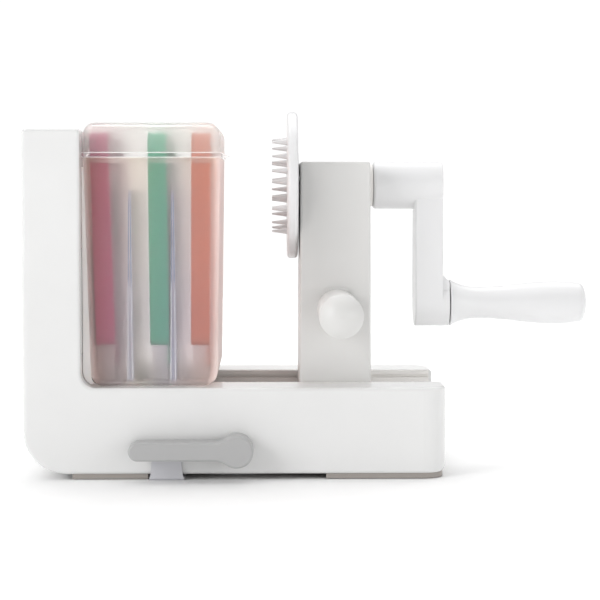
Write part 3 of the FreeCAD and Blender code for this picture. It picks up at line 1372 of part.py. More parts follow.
def lid_outline(inset, low):
    """The lid seen from the front: straight sides and round upper corners."""
    edge = S.lid_edge - inset
    low_x, high_x, top = lid_left + inset, lid_right - inset, lid_top - inset
    return [
        (low_x, low), (high_x, low), (high_x, top - edge), (high_x - edge, top, edge),
        (low_x + edge, top), (low_x, top - edge, edge),
    ]


def make_box_lid():
    """The translucent lid: a shallow cap with a bead, a lip that locates it and a nub."""
    body = new_body("box_lid")
    low = S.box_mouth + S.lid_gap
    bead = S.lid_bead
    wall = S.lid_wall
    pad(body, "XZ_Plane", shape_of(lid_outline(as_size(0), low)), -lid_half, lid_half)
    soften(body, S.box_corner, lambda p, e: near(abs(p.y), lid_half) and not near(p.z, low))
    pad(body, "XY_Plane", shape_of(rounded_rectangle(
        lid_left - bead, lid_right + bead, -lid_half - bead, lid_half + bead,
        S.box_corner + bead)), low, low + S.lid_bead_height)
    lip = S.box_wall + S.lid_gap
    pad(body, "XY_Plane", shape_of(rounded_rectangle(
        box_high_left + lip, box_high_right - lip, lip - box_half,
        box_half - lip, S.box_corner - lip)), S.box_mouth - S.lip_drop, low + S.over)
    inset = lip + S.lip_wall
    pocket(body, "XY_Plane", shape_of(rounded_rectangle(
        box_high_left + inset, box_high_right - inset, inset - box_half,
        box_half - inset, S.lip_corner)),
        S.box_mouth - S.lip_drop - S.over, low + wall)
    hollow_half = lid_half - wall
    hollow = shape_of(lid_outline(wall, low + wall))
    pocket(body, "XZ_Plane", hollow, -hollow_half, hollow_half)
    soften(body, S.box_corner - wall,
           lambda p, e: near(abs(p.y), hollow_half) and not near(p.z, low + wall))
    root = lid_right - wall / 2
    nub = [(root, low + S.nub_low), (lid_right + bead, low + S.nub_low),
           (lid_right + bead + S.nub_reach, low + S.nub_tip), (root, low + S.nub_root)]
    pad(body, "XZ_Plane", shape_of(nub), -S.nub_half, S.nub_half)
    return body


# ---------------------------------------------------------------- blade cartridges


def lean_in_box(item, left_side, lean):
    """Stand a cartridge's piece in the box, leaning a little to one side."""
    item.Placement = Placement(Vector(0, 0, 0), Rotation(Y_WAY, float(lean)))
    locate(item, left_side, 0, S.cartridge_foot)


def dish_outline(radius, top):
    """A round dish that runs out at the cartridge's top edge."""
    axis = cartridge_axis
    rise = top - axis
    half = (radius * radius - rise * rise).root()
    return [
        (-half, top), (-radius, axis, radius), (0, axis - radius, radius),
        (radius, axis, radius), (half, top, radius),
    ]


def make_cartridge(label, left_side, lean):
    """A blade's plastic tray: rim, plate, tongue, round dish, radial slot and coring seat."""
    body = new_body(label)
    half, height = S.cartridge_width / 2, S.cartridge_height
    thick, plate, rim = S.cartridge_thickness, S.plate_wall, S.cartridge_rim
    corner = S.cartridge_corner
    pad(body, "YZ_Plane", shape_of(rounded_rectangle(
        -half, half, as_size(0), height, corner)), as_size(0), thick)
    pocket(body, "YZ_Plane", shape_of(rounded_rectangle(
        rim - half, half - rim, rim, height - rim, corner - rim)), -S.over, thick - plate)
    tongue = S.tongue_half
    pad(body, "YZ_Plane", shape_of(rounded_rectangle(
        -tongue, tongue, -S.tongue_height, S.tongue_height, corner)), thick - plate, thick)
    dish = thick - S.dish_depth
    back = dish - plate
    wall_radius = S.dish_radius + S.dish_wall
    pad(body, "YZ_Plane", shape_of(dish_outline(wall_radius, height - rim / 2)), back,
        thick - plate / 2)
    pocket(body, "YZ_Plane", shape_of(dish_outline(S.dish_radius, height + S.over)), dish,
           thick + S.over)
    slot_bottom = cartridge_axis - S.blade_slot_end
    slot_top = cartridge_axis - S.blade_slot_start
    frame = S.slot_frame
    open_half = S.blade_slot_half
    pad(body, "YZ_Plane", shape_of(rectangle(
        -open_half - frame, open_half + frame, slot_bottom - frame, slot_top + frame)),
        back - S.slot_frame_height, dish)
    pad(body, "YZ_Plane", circles_of((0, cartridge_axis, S.core_radius + frame)),
        back - S.slot_frame_height, dish)
    pocket(body, "YZ_Plane", shape_of(rectangle(
        -open_half, open_half, slot_bottom, slot_top)), -S.over, dish + S.over)
    core = circles_of((0, cartridge_axis, S.core_radius))
    pocket(body, "YZ_Plane", core, -S.over, dish + S.over)
    lean_in_box(body, left_side, lean)
    return body


def make_blade_steel(label, left_side, lean, pitch):
    """The steel of a cartridge: coring ring, radial blade and, with a pitch, a comb."""
    dish = S.cartridge_thickness - S.dish_depth
    edge = dish + S.edge_rise
    steel = S.steel_wall
    slot_bottom = cartridge_axis - S.blade_slot_end
    slot_top = cartridge_axis - S.blade_slot_start
    gap = S.press_gap
    pieces = []

    ring = doc.addObject("PartDesign::Body", "coring_ring")
    outer = S.core_radius - gap
    wall = circles_of((0, cartridge_axis, outer), (0, cartridge_axis, outer - steel))
    pad(ring, "YZ_Plane", wall, dish - S.plate_wall, edge)
    soften(ring, S.edge_bevel, lambda p, e: near(p.x, edge) and near(e.Curve.Radius, outer - steel),
           kind="PartDesign::Chamfer")
    pieces.append(ring)

    blade = doc.addObject("PartDesign::Body", "radial_blade")
    half = S.blade_slot_half - gap
    bevel = S.edge_bevel
    section = [(dish - S.plate_wall, -half), (dish - S.blade_step, -half),
               (edge, half - S.blade_back), (edge - bevel, half - S.blade_back + bevel)]
    pad(blade, "XY_Plane", shape_of(section), slot_bottom + gap, slot_top - gap)
    pieces.append(blade)

    if pitch is not None:
        comb = doc.addObject("PartDesign::Body", "comb")
        low_y = S.blade_slot_half + S.comb_gap
        high_y = low_y + S.comb_width
        strip = rectangle(dish, dish + steel, low_y, high_y)
        pad(comb, "XY_Plane", shape_of(strip), slot_bottom, slot_top)
        tooth = [(dish + steel / 2, low_y), (dish + steel / 2, high_y),
                 (dish + S.comb_rise, low_y + bevel), (dish + S.comb_rise, low_y)]
        first = pad(comb, "XY_Plane", shape_of(tooth), slot_bottom, slot_bottom + steel)
        doc.recompute()
        teeth = comb.newObject("PartDesign::LinearPattern", "Teeth")
        teeth.Originals = [first]
        teeth.Direction = (plane_of(comb, "Z_Axis"), [""])
        span = slot_top - slot_bottom - steel
        count = int(float(span) / float(pitch)) + 1
        bind(teeth, "Length", pitch * (count - 1))
        teeth.Occurrences = count
        comb.Tip = teeth
        pieces.append(comb)
    for piece in pieces:
        lean_in_box(piece, left_side, lean)
    return new_group(label, pieces)


# ---------------------------------------------------------------- the whole part

make_base_frame()
make_rail_liner("front_rail_liner", -1)
make_rail_liner("back_rail_liner", 1)
make_bottom_cover()
make_screws("cover_screws", SCREW_SPOTS, cover_bottom, S.cover_wall + S.screw_reach)
make_rubber_feet()
make_lever_bush()
make_suction_cup()
make_cam_shaft()
make_suction_lever()
make_cup_stem()
make_carriage_post()
make_carriage_shoe()
make_screws("shoe_screws", [(x + post_x, y) for x, y in shoe_spots()],
            shoe_low + shoe_well, S.screw_reach)
make_crank_bush("holder_side_bush", -1)
make_crank_bush("crank_side_bush", 1)
make_push_handle()
make_handle_screw()
make_crank_shaft()
make_food_holder()
make_crank_arm()
make_shaft_screw()
make_hub_cap()
make_grip_pin()
make_crank_grip()
make_grip_cap()
make_blade_box()
make_box_lid()
BLADES = [
    ("fine", fine_left, S.fine_lean, S.fine_pitch),
    ("wide", wide_left, S.wide_lean, S.wide_pitch),
    ("ribbon", ribbon_left, S.ribbon_lean, None),
]
for kind, left_side, lean, pitch in BLADES:
    make_cartridge(f"{kind}_cartridge", left_side, lean)
    make_blade_steel(f"{kind}_blade", left_side, lean, pitch)

doc.recompute()

# ---------------------------------------------------------------- checks and export


def failed(item):
    """Whether an object of the document could not be made."""
    return any(word in item.State for word in ("Invalid", "Error"))


broken = [item.Name for item in doc.Objects if failed(item)]
if broken:
    raise RuntimeError("not made: " + ", ".join(broken))
for node in NODES:
    if node.Shape.isNull() or not node.Shape.isValid() or not node.Shape.Solids:
        raise RuntimeError("no sound solid: " + node.Label)
for node in NODES:
    node.Shape.exportStep(f"parts/{node.Label}.step")
    box = node.Shape.optimalBoundingBox()
    print(f"{node.Label:18s} {len(node.Shape.Solids)} {node.Shape.Volume / 1000:8.2f} cm3",
          f"x {box.XMin:.1f} {box.XMax:.1f} y {box.YMin:.1f} {box.YMax:.1f}",
          f"z {box.ZMin:.1f} {box.ZMax:.1f}")
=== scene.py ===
"""Looks of a tabletop spiralizer with a crank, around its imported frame.

Everything is in metres. X runs from the column to the crank, Y away from the viewer, Z up.
"""
import math

import bmesh
import bpy
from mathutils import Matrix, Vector


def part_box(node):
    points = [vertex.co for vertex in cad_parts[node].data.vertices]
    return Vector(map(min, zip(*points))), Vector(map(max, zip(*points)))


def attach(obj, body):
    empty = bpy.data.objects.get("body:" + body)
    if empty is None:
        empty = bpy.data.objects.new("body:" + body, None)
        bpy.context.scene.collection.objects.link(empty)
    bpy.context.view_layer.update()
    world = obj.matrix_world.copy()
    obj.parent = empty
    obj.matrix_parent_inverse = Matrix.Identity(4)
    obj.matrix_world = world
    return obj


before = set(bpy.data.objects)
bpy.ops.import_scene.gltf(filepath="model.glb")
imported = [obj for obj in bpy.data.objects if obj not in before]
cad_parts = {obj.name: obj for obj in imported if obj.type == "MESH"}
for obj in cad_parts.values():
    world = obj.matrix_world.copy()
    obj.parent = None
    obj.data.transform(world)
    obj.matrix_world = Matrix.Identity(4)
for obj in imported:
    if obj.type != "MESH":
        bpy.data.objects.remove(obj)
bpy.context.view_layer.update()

MM = 0.001

# ---------------------------------------------------------------- steps in a node tree

# the Mix node names the sockets of all its kinds alike, so its colours go by number
MIX_FIRST, MIX_SECOND, MIX_RESULT = 6, 7, 2
# the stretch that nearly all values of a noise lie in
NOISE_LOW, NOISE_HIGH = 0.3, 0.7


def new_material(name):
    """A node material with an empty surface; gives its node tree and output."""
    material = bpy.data.materials.new(name)
    material.use_nodes = True
    tree = material.node_tree
    tree.nodes.clear()
    output = tree.nodes.new("ShaderNodeOutputMaterial")
    return material, tree, output


def add_node(tree, kind, **inputs):
    """A node with its inputs set by name, spaces written as underscores."""
    node = tree.nodes.new(kind)
    for name, value in inputs.items():
        node.inputs[name.replace("_", " ")].default_value = value
    return node


def put(tree, value, socket):
    """Links an output to a socket, or sets the socket to a plain value."""
    if isinstance(value, bpy.types.NodeSocket):
        tree.links.new(value, socket)
    else:
        socket.default_value = value


def opaque(color):
    """A colour with the fourth number that a socket wants."""
    return (*color, 1)


def tinted(color, factor):
    """A colour made a little lighter or darker."""
    return tuple(min(channel * factor, 1.0) for channel in color)


def combined(tree, operation, first, second=None):
    """One arithmetic step on outputs or numbers."""
    step = tree.nodes.new("ShaderNodeMath")
    step.operation = operation
    put(tree, first, step.inputs[0])
    if second is not None:
        put(tree, second, step.inputs[1])
    return step.outputs["Value"]


def distance(tree, source, middle):
    """How far an output is from a number, either way."""
    return combined(tree, "ABSOLUTE", combined(tree, "SUBTRACT", source, middle))


def map_range(tree, source, low, high, first, last):
    """A number that goes from first to last while an output goes from low to high."""
    spread = add_node(tree, "ShaderNodeMapRange",
                      From_Min=low, From_Max=high, To_Min=first, To_Max=last)
    tree.links.new(source, spread.inputs["Value"])
    return spread.outputs["Result"]


def inside(tree, source, middle, half, soft):
    """One within half of a middle, falling to zero over a soft edge."""
    return map_range(tree, distance(tree, source, middle), half, half + soft, first=1.0, last=0.0)


def blended(tree, factor, first, second):
    """Two shader outputs mixed by a number or an output."""
    mix = tree.nodes.new("ShaderNodeMixShader")
    put(tree, factor, mix.inputs["Fac"])
    tree.links.new(first, mix.inputs[1])
    tree.links.new(second, mix.inputs[2])
    return mix.outputs["Shader"]


def mixed_color(tree, factor, first, second, blend="MIX"):
    """Two colours mixed by a number or an output."""
    mix = tree.nodes.new("ShaderNodeMix")
    mix.data_type = "RGBA"
    mix.blend_type = blend
    put(tree, factor, mix.inputs["Factor"])
    put(tree, first, mix.inputs[MIX_FIRST])
    put(tree, second, mix.inputs[MIX_SECOND])
    return mix.outputs[MIX_RESULT]


def separated(tree, source):
    """The three axes of a vector output, by name."""
    axes = tree.nodes.new("ShaderNodeSeparateXYZ")
    tree.links.new(source, axes.inputs["Vector"])
    return axes.outputs


def object_axes(tree):
    """The object's own coordinates, one output for each axis."""
    place = tree.nodes.new("ShaderNodeTexCoord")
    return separated(tree, place.outputs["Object"])


def noise(tree, scale, detail, stretch=(1, 1, 1)):
    """A noise in the object's own coordinates; stretch scales it along each axis."""
    place = tree.nodes.new("ShaderNodeTexCoord")
    mapping = add_node(tree, "ShaderNodeMapping", Scale=stretch)
    texture = add_node(tree, "ShaderNodeTexNoise", Scale=scale, Detail=detail)
    tree.links.new(place.outputs["Object"], mapping.inputs["Vector"])
    tree.links.new(mapping.outputs["Vector"], texture.inputs["Vector"])
    return texture.outputs["Fac"]


def shade_range(tree, source, low, high):
    """A noise turned into a soft mix between two colours."""
    ramp = tree.nodes.new("ShaderNodeValToRGB")
    ends = ((NOISE_LOW, low), (NOISE_HIGH, high))
    for element, (place, color) in zip(ramp.color_ramp.elements, ends):
        element.position = place
        element.color = opaque(color)
    tree.links.new(source, ramp.inputs["Fac"])
    return ramp.outputs["Color"]


def value_range(tree, source, low, high):
    """A noise turned into a number between low and high."""
    return map_range(tree, source, NOISE_LOW, NOISE_HIGH, low, high)


def grain(tree, scale, depth, stretch=(1, 1, 1)):
    """A bump from a fine noise."""
    bump = add_node(tree, "ShaderNodeBump", Strength=1.0, Distance=depth)
    tree.links.new(noise(tree, scale, detail=3.0, stretch=stretch), bump.inputs["Height"])
    return bump.outputs["Normal"]


def along(tree, source, stops):
    """A colour that changes along an axis; stops are (metres, colour)."""
    low, high = stops[0][0], stops[-1][0]
    ramp = tree.nodes.new("ShaderNodeValToRGB")
    ramp.color_ramp.interpolation = "EASE"
    elements = ramp.color_ramp.elements
    for index, (place, color) in enumerate(stops):
        share = (place - low) / (high - low)
        element = elements[index] if index < 2 else elements.new(share)
        element.position = share
        element.color = opaque(color)
    tree.links.new(map_range(tree, source, low, high, first=0.0, last=1.0), ramp.inputs["Fac"])
    return ramp.outputs["Color"]


# ---------------------------------------------------------------- kinds of material

PLASTIC_IOR = 1.49
# how much darker a moulded colour is painted where a painted shade is asked for
PAINTED_SHADE_FACTOR = 0.8


def dressed(tree, output, shader, shades, gloss, bump):
    """Links a shader's colour, roughness and bump, and the shader to the surface."""
    for source, socket in ((shades, "Base Color"), (gloss, "Roughness"), (bump, "Normal")):
        tree.links.new(source, shader.inputs[socket])
    tree.links.new(shader.outputs["BSDF"], output.inputs["Surface"])


def moulded(name, color, roughness, grain_scale=2600, grain_depth=0.012 * MM, glow=0.0,
            painted_shade=None):
    """Moulded plastic: faint cloudy colour, uneven gloss and a fine surface grain.

    glow is the share of light that spreads below the surface. Where the function of the axes given
    for a painted shade gives one, the colour is painted a fifth darker.
    """
    material, tree, output = new_material(name)
    shader = add_node(tree, "ShaderNodeBsdfPrincipled", IOR=PLASTIC_IOR)
    if glow:
        shader.inputs["Subsurface Weight"].default_value = glow
        shader.inputs["Subsurface Radius"].default_value = (4 * MM, 3.5 * MM, 3 * MM)
        shader.inputs["Subsurface Scale"].default_value = 0.5
    cloud = noise(tree, scale=24, detail=4.0)
    shades = shade_range(tree, cloud, tinted(color, 0.985), tinted(color, 1.01))
    if painted_shade:
        # painted shade: the colour is a fifth darker where the given function says
        shades = mixed_color(tree, painted_shade(tree, object_axes(tree)), shades,
                             opaque(tinted(color, PAINTED_SHADE_FACTOR)))
    sheen = noise(tree, scale=90, detail=3.0)
    gloss = value_range(tree, sheen, roughness * 0.92, roughness * 1.08)
    dressed(tree, output, shader, shades, gloss, grain(tree, grain_scale, grain_depth))
    return material


def steel(name, stretch, roughness=0.24):
    """Bright ground steel with fine lines along one direction."""
    material, tree, output = new_material(name)
    shader = add_node(tree, "ShaderNodeBsdfPrincipled", Metallic=1.0)
    lines = noise(tree, scale=60, detail=3.0, stretch=stretch)
    shades = shade_range(tree, lines, (0.60, 0.60, 0.61), (0.72, 0.72, 0.73))
    sheen = noise(tree, scale=90, detail=2.0, stretch=stretch)
    gloss = value_range(tree, sheen, roughness * 0.85, roughness * 1.2)
    bump = grain(tree, scale=400, depth=0.006 * MM, stretch=stretch)
    dressed(tree, output, shader, shades, gloss, bump)
    return material


def milky(tree, color, bump):
    """Milky plastic that scatters the light forwards and back."""
    lit = tree.nodes.new("ShaderNodeBsdfTranslucent")
    skin = add_node(tree, "ShaderNodeBsdfPrincipled", Roughness=0.3, IOR=1.45)
    for shader, socket in ((lit, "Color"), (skin, "Base Color")):
        put(tree, color, shader.inputs[socket])
        tree.links.new(bump, shader.inputs["Normal"])
    return blended(tree, 0.5, lit.outputs["BSDF"], skin.outputs["BSDF"])


def blurring(tree, color, roughness, ior):
    """A shader of clear plastic that blurs what is behind it."""
    shader = add_node(tree, "ShaderNodeBsdfPrincipled", Roughness=roughness, IOR=ior,
                      Transmission_Weight=1.0)
    put(tree, color, shader.inputs["Base Color"])
    return shader


def frosted(name, color, milk, roughness, painted_tints, lamp_share, lamp_color, zones):
    """Frosted translucent plastic, with its tints and with zones that are clearer or milkier.

    A milky share scatters the light, and the rest passes and is blurred. Each of the tints is an
    axis and the colours painted along it, which stand in for light and coloured glow. The lamps'
    light comes straight through by its own share and colour. Each zone is a function of the axes
    that gives its strength, then the milky share inside it and that share's colour, which some
    zones use for a painted glow, painted shade lines and painted highlight lines.
    """
    material, tree, output = new_material(name)
    axes = object_axes(tree)
    cloud = noise(tree, scale=30, detail=4.0)
    shades = shade_range(tree, cloud, tinted(color, 0.98), color)
    for axis, stops in painted_tints:
        # painted light: the colour is multiplied by the tints painted along the axes
        shades = mixed_color(tree, 1.0, shades, along(tree, axes[axis], stops), "MULTIPLY")
    bump = grain(tree, scale=1800, depth=0.01 * MM)

    blurred = blurring(tree, shades, roughness, ior=1.3)
    tree.links.new(bump, blurred.inputs["Normal"])
    surface = blended(tree, milk, blurred.outputs["BSDF"], milky(tree, shades, bump))

    softened = blurring(tree, opaque((0.94, 0.92, 0.91)), roughness=0.28, ior=1.2)
    window = tree.nodes.new("ShaderNodeBsdfTransparent")
    thin = blended(tree, 0.5, softened.outputs["BSDF"], window.outputs["BSDF"])
    for strength, share, tint in zones:
        zone = blended(tree, share, thin, milky(tree, opaque(tint), bump))
        surface = blended(tree, strength(tree, axes), surface, zone)

    rays = tree.nodes.new("ShaderNodeLightPath")
    straight = add_node(tree, "ShaderNodeBsdfTransparent", Color=opaque(lamp_color))
    passing = combined(tree, "MULTIPLY", rays.outputs["Is Shadow Ray"], lamp_share)
    surface = blended(tree, passing, surface, straight.outputs["BSDF"])
    tree.links.new(surface, output.inputs["Surface"])
    return material


# ---------------------------------------------------------------- zones of the materials

# the storage box as the part makes it: its fins, its front and back walls, and its foot
FIN_PLACES = (-62.2 * MM, -36.8 * MM)
FIN_TOP = 170 * MM
FIN_END = 58 * MM
BOX_SIDE = 62.6 * MM
BOX_FOOT = 54 * MM
# the clear seam where the lid meets the box, and the painted highlight line above and below it
LID_SEAM = 191 * MM
LID_HIGHLIGHT_OFFSET = 1.4 * MM
EDGE = 0.2 * MM
THIN_EDGE = 0.1 * MM


def side_walls(tree, axes):
    """The walls that face left and right, which a normal near X tells; the zone on them is milkier
    and has a painted warm glow.
    """
    shape = tree.nodes.new("ShaderNodeNewGeometry")
    normal = separated(tree, shape.outputs["Normal"])
    facing = combined(tree, "ABSOLUTE", normal["X"])
    return inside(tree, facing, middle=1.0, half=0.15, soft=0.35)


def fin_sides(tree, axes):
    """The divider fins inside the box, from its floor up."""
    left, right = [inside(tree, axes["X"], place, half=2.6 * MM, soft=EDGE)
                   for place in FIN_PLACES]
    depth = inside(tree, axes["Y"], middle=0.0, half=FIN_END + 0.5 * MM, soft=EDGE)
    height = inside(tree, axes["Z"], middle=125 * MM, half=67.5 * MM, soft=EDGE)
    return combined(tree, "MULTIPLY", combined(tree, "ADD", left, right),
                    combined(tree, "MULTIPLY", depth, height))


def fin_fronts(tree, axes):
    """The front and back edges of the divider fins, which carry painted shade lines."""
    from_middle = combined(tree, "ABSOLUTE", axes["Y"])
    edge = inside(tree, from_middle, FIN_END, half=0.3 * MM, soft=THIN_EDGE)
    return combined(tree, "MULTIPLY", fin_sides(tree, axes), edge)


def fin_seams(middle, half):
    """The fine lines where the fins meet the front and back walls, over a stretch of height, which
    the zones paint as shade lines and highlight lines.
    """
    def strength(tree, axes):
        width = map_range(tree, axes["Z"], BOX_FOOT, FIN_TOP, first=1.4 * MM, last=0.4 * MM)
        lines = []
        for place in FIN_PLACES:
            away = combined(tree, "SUBTRACT", distance(tree, axes["X"], place), width)
            lines.append(inside(tree, away, middle=0.0, half=0.14 * MM, soft=EDGE))
        from_middle = combined(tree, "ABSOLUTE", axes["Y"])
        wall = inside(tree, from_middle, BOX_SIDE, half=1.2 * MM, soft=EDGE)
        stretch = inside(tree, axes["Z"], middle, half, soft=10 * MM)
        return combined(tree, "MULTIPLY", combined(tree, "MAXIMUM", *lines),
                        combined(tree, "MULTIPLY", wall, stretch))
    return strength


def level(middle, half):
    """A level band as a zone's strength."""
    return lambda tree, axes: inside(tree, axes["Z"], middle, half, THIN_EDGE)


def painted_disc_shadow(tree, axes):
    """The post's upper part next to the disc, where the disc's shadow is painted."""
    upper = inside(tree, axes["Z"], middle=190 * MM, half=45 * MM, soft=55 * MM)
    left = inside(tree, axes["X"], middle=38 * MM, half=12 * MM, soft=36 * MM)
    return combined(tree, "MULTIPLY", upper, left)


# ---------------------------------------------------------------- finishes

HOUSING = moulded("housing_white", (0.775, 0.775, 0.77), 0.16, grain_depth=0.004 * MM)
# the post's upper left, next to the disc, has the disc's shadow painted into its colour
POST = moulded("post_white", (0.70, 0.695, 0.682), 0.36, painted_shade=painted_disc_shadow)
HANDLE = moulded("handle_white", (0.69, 0.685, 0.672), 0.36)
CRANK = moulded("crank_white", (0.785, 0.785, 0.79), 0.3)
LINER = moulded("liner_grey", (0.88, 0.86, 0.835), 0.45)
COVER = moulded("cover_grey", (0.36, 0.33, 0.305), 0.55)
LEVER = moulded("lever_grey", (0.425, 0.425, 0.425), 0.42)
CUP = moulded("cup_rubber", (0.60, 0.60, 0.63), 0.42, grain_scale=1500, grain_depth=0.02 * MM)
FOOT = moulded("foot_rubber", (0.10, 0.10, 0.10), 0.62, grain_scale=1200, grain_depth=0.03 * MM)
# painted light: a light colour for the sheets put in the shaded gap beside the box
GAP_LIGHT_SHEET = moulded("painted_gap_light", (0.88, 0.85, 0.83), 0.3, glow=0.3)
PINK = moulded("fine_pink", (0.30, 0.001, 0.075), 0.4)
GREEN = moulded("wide_green", (0.03, 0.305, 0.178), 0.4)
CORAL = moulded("ribbon_coral", (0.475, 0.128, 0.068), 0.4)
STEEL_ROUND = steel("steel_turned", (1, 12, 12))
STEEL_FLAT = steel("steel_ground", (12, 12, 1))

# painted light: the colours across the box stand in for the coloured glow of the cartridges behind
# its walls and a warm light at its sides; those upwards paint it lighter and warmer towards the
# top, where the light comes in from above
PAINTED_GLOW_ACROSS = [(-90 * MM, (0.93, 0.80, 0.76)), (-70 * MM, (0.96, 0.92, 0.93)),
          (-58 * MM, (0.97, 0.96, 0.93)), (-40 * MM, (0.93, 0.93, 0.96)),
          (-25 * MM, (0.97, 0.92, 0.91)), (-9 * MM, (0.96, 0.87, 0.84))]
PAINTED_LIGHT_UPWARDS = [(54 * MM, (0.96, 0.965, 0.97)), (90 * MM, (0.95, 0.94, 0.97)),
           (150 * MM, (0.98, 0.97, 0.97)), (190 * MM, (1.0, 0.98, 0.95))]
BOX_COLOR = (0.985, 0.965, 0.955)
# painted light: the warm glow on the side walls
PAINTED_WALL_GLOW = (0.97, 0.87, 0.84)
# painted shade: the bluish dark lines at the fins' edges and upper seams; painted highlight: the
# light lines at their lower seams
FIN_PAINTED_SHADE = (0.50, 0.54, 0.70)
FIN_PAINTED_HIGHLIGHT = (1.0, 0.99, 1.0)
# the white of the seam's milky share and of its painted highlight lines
SEAM_WHITE_AND_HIGHLIGHT = (0.98, 0.98, 0.98)
FROSTED = frosted(
    "box_frosted", BOX_COLOR, milk=0.12, roughness=0.34, painted_tints=[("X", PAINTED_GLOW_ACROSS), ("Z", PAINTED_LIGHT_UPWARDS)],
    lamp_share=0.98, lamp_color=BOX_COLOR,
    # zones: milkier side walls with a painted warm glow, painted shade lines at the fins' edges and
    # upper seams, and painted highlight lines at the lower seams
    zones=[(side_walls, 0.8, PAINTED_WALL_GLOW), (fin_sides, 0.03, FIN_PAINTED_SHADE), (fin_fronts, 0.8, FIN_PAINTED_SHADE),
           (fin_seams(middle=139 * MM, half=22 * MM), 0.55, FIN_PAINTED_SHADE),
           (fin_seams(middle=85 * MM, half=24 * MM), 0.9, FIN_PAINTED_HIGHLIGHT)])
FROSTED_LID = frosted(
    "lid_frosted", (0.955, 0.941, 0.922), milk=0.16, roughness=0.36, painted_tints=[],
    lamp_share=0.9, lamp_color=(0.985, 0.975, 0.96),
    # painted highlight lines above and below the clear seam
    zones=[(level(LID_SEAM + LID_HIGHLIGHT_OFFSET, half=0.3 * MM), 0.85, SEAM_WHITE_AND_HIGHLIGHT),
           (level(LID_SEAM, half=1.1 * MM), 0.12, SEAM_WHITE_AND_HIGHLIGHT),
           (level(LID_SEAM - LID_HIGHLIGHT_OFFSET, half=0.3 * MM), 0.85, SEAM_WHITE_AND_HIGHLIGHT)])

FINISH = {
    "base_frame": HOUSING, "front_rail_liner": LINER, "back_rail_liner": LINER,
    "bottom_cover": COVER, "cover_screws": STEEL_ROUND, "rubber_feet": FOOT,
    "lever_bush": LINER, "suction_cup": CUP, "suction_lever": LEVER, "cam_shaft": LEVER,
    "cup_stem": LINER, "carriage_post": POST, "carriage_shoe": COVER,
    "shoe_screws": STEEL_ROUND, "holder_side_bush": LINER, "crank_side_bush": LINER,
    "push_handle": HANDLE, "handle_screw": STEEL_ROUND, "crank_shaft": STEEL_ROUND,
    "food_holder": CRANK, "crank_arm": CRANK, "shaft_screw": STEEL_ROUND, "hub_cap": CRANK,
    "grip_pin": STEEL_ROUND, "crank_grip": CRANK, "grip_cap": CRANK, "blade_box": FROSTED,
    "box_lid": FROSTED_LID, "fine_cartridge": PINK, "fine_blade": STEEL_FLAT,
    "wide_cartridge": GREEN, "wide_blade": STEEL_FLAT, "ribbon_cartridge": CORAL,
    "ribbon_blade": STEEL_FLAT,
}
for label, finish in FINISH.items():
    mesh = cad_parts[label].data
    mesh.materials.clear()
    mesh.materials.append(finish)

# ---------------------------------------------------------------- painted light in the gap beside the storage box

# gaps between the box and the column's face: at the box's left-most point, foot and mouth
BOX_GAP, FOOT_GAP, MOUTH_GAP = 1.2 * MM, 5.1 * MM, 1.2 * MM
# rounds at the foot of the box and of the column
BOX_CORNER, COLUMN_CORNER = 5.0 * MM, 8.5 * MM
# the light sheet is clear of the column, goes this deep into the box's wall, and stands out at
# least so far
SHEET_CLEARANCE, SHEET_ROOT, SHEET_LEAST = 0.35 * MM, 0.4 * MM, 0.2 * MM
# it starts above the box's foot, ends at a height, and is drawn in closer steps near its foot
SHEET_START, SHEET_TOP, SHEET_STEPS = 1.0 * MM, 184 * MM, 30
# its middle's distance from the box's middle, and half its thickness, along Y
SHEET_PLACE, SHEET_HALF = 58.0 * MM, 0.6 * MM


def round_reach(radius, rise):
    """How far a round at the foot of a wall still reaches out, at a height above that foot."""
    if rise >= radius:
        return 0.0
    return radius - math.sqrt(radius ** 2 - (radius - rise) ** 2)


def gap_sheet_outline():
    """The light sheet's left and right edges from below, as (left, right, height)."""
    low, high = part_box("blade_box")
    face, bottom = low[0] - BOX_GAP, low[2]
    outline = []
    for step in range(SHEET_STEPS + 1):
        share = (step / SHEET_STEPS) ** 2
        rise = SHEET_START + (SHEET_TOP - bottom - SHEET_START) * share
        gap = FOOT_GAP + (MOUTH_GAP - FOOT_GAP) * rise / (high[2] - bottom)
        wall = face + gap + round_reach(BOX_CORNER, rise)
        left = face + SHEET_CLEARANCE + round_reach(COLUMN_CORNER, rise)
        outline.append((min(left, wall - SHEET_LEAST), wall + SHEET_ROOT, bottom + rise))
    return outline


def make_gap_light_sheets():
    """Thin light sheets that fill most of the gap between the storage box and the column, as
    painted light where the gap is in shade.
    """
    outline = gap_sheet_outline()
    for label, middle in (("gap_light_sheet_front", -SHEET_PLACE), ("gap_light_sheet_back", SHEET_PLACE)):
        front, back = middle - SHEET_HALF, middle + SHEET_HALF
        shape = bmesh.new()
        rows = [[shape.verts.new(point) for point in (
            (left, front, z), (right, front, z), (right, back, z), (left, back, z))]
            for left, right, z in outline]
        for below, above in zip(rows, rows[1:]):
            for side in range(4):
                other = (side + 1) % 4
                shape.faces.new((below[side], below[other], above[other], above[side]))
        shape.faces.new(rows[0][::-1])
        shape.faces.new(rows[-1])
        shape.normal_update()
        mesh = bpy.data.meshes.new(label)
        shape.to_mesh(mesh)
        shape.free()
        mesh.materials.append(GAP_LIGHT_SHEET)
        piece = bpy.data.objects.new(label, mesh)
        bpy.context.collection.objects.link(piece)
        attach(piece, "storage_box")


make_gap_light_sheets()

# ---------------------------------------------------------------- floor, light and camera

FLOOR_HALF = 1.7
AIM = (0, 0, 0.12)
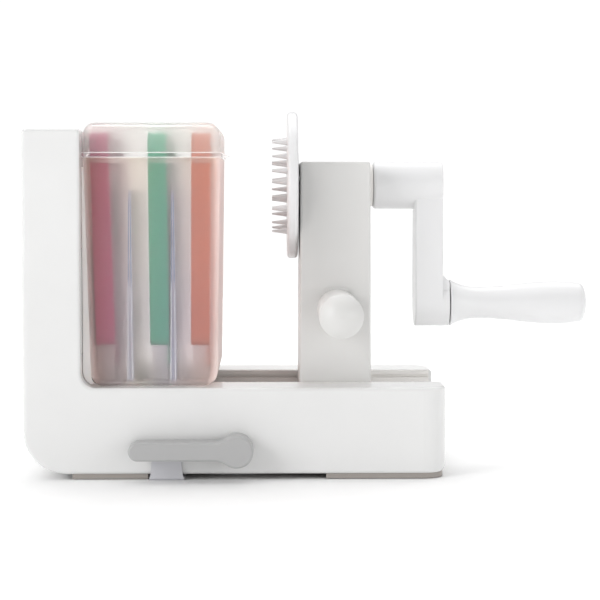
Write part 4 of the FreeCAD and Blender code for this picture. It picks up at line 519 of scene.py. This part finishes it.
# name, place, the point it faces, size and power
LIGHTS = (
    ("overhead", (0.0, 0.3, 3.0), (0, 0.3, 0), 5.0, 68),
    ("backdrop", (0.0, 1.7, 1.7), (0, 1.9, 0), 3.0, 34),
    ("key_left", (-2.4, -2.0, 1.3), AIM, 1.6, 38),
    ("side_left", (-3.0, -0.9, 1.2), AIM, 1.9, 12),
    ("fill_right", (2.2, -2.2, 0.8), AIM, 1.8, 14),
    ("side_right", (3.0, -0.9, 1.0), AIM, 1.9, 9),
)
EYE = (0.0195, -1.1325, 0.1728)
LENS, SENSOR = 108.94, 36
YAW, PITCH = math.radians(-1.0), math.radians(-3.593)


def make_floor():
    """A wide pale table top."""
    mesh = bpy.data.meshes.new("floor")
    corners = [(x * FLOOR_HALF, y * FLOOR_HALF, 0) for x, y in ((-1, -1), (1, -1), (1, 1), (-1, 1))]
    mesh.from_pydata(corners, [], [(0, 1, 2, 3)])
    mesh.materials.append(moulded("floor_white", (0.98, 0.98, 0.98), 0.75, grain_scale=300,
                                  grain_depth=0.02 * MM))
    floor = bpy.data.objects.new("floor", mesh)
    bpy.context.collection.objects.link(floor)


def add_light(name, place, aim, size, power):
    """A square soft light that faces a point."""
    data = bpy.data.lights.new(name, "AREA")
    data.shape = "SQUARE"
    data.size = size
    data.energy = power
    lamp = bpy.data.objects.new(name, data)
    bpy.context.collection.objects.link(lamp)
    lamp.location = place
    direction = Vector(aim) - Vector(place)
    lamp.rotation_euler = direction.to_track_quat("-Z", "Y").to_euler()


def make_surround():
    """A pale surround: white near the horizon, dimmer above it, and dimmest in front."""
    world = bpy.data.worlds.new("studio")
    world.use_nodes = True
    tree = world.node_tree
    background = tree.nodes["Background"]
    background.inputs["Color"].default_value = opaque((1, 1, 1))
    place = tree.nodes.new("ShaderNodeTexCoord")
    direction = separated(tree, place.outputs["Generated"])
    horizon = map_range(tree, direction["Z"], low=0.11, high=0.26, first=1.05, last=0.0)
    room = map_range(tree, direction["Y"], low=-0.6, high=0.4, first=0.12, last=0.45)
    tree.links.new(combined(tree, "MAXIMUM", horizon, room), background.inputs["Strength"])
    bpy.context.scene.world = world


def make_camera():
    """The viewer: straight from the front, a little above the object's middle."""
    data = bpy.data.cameras.new("camera")
    data.sensor_width = SENSOR
    data.lens = LENS
    data.clip_start, data.clip_end = 0.05, 50
    camera = bpy.data.objects.new("camera", data)
    bpy.context.collection.objects.link(camera)
    camera.location = EYE
    camera.rotation_euler = (math.pi / 2 + PITCH, 0, YAW)
    bpy.context.scene.camera = camera


make_floor()
for light in LIGHTS:
    add_light(*light)
make_surround()
bpy.context.scene.view_settings.view_transform = "Standard"
make_camera()
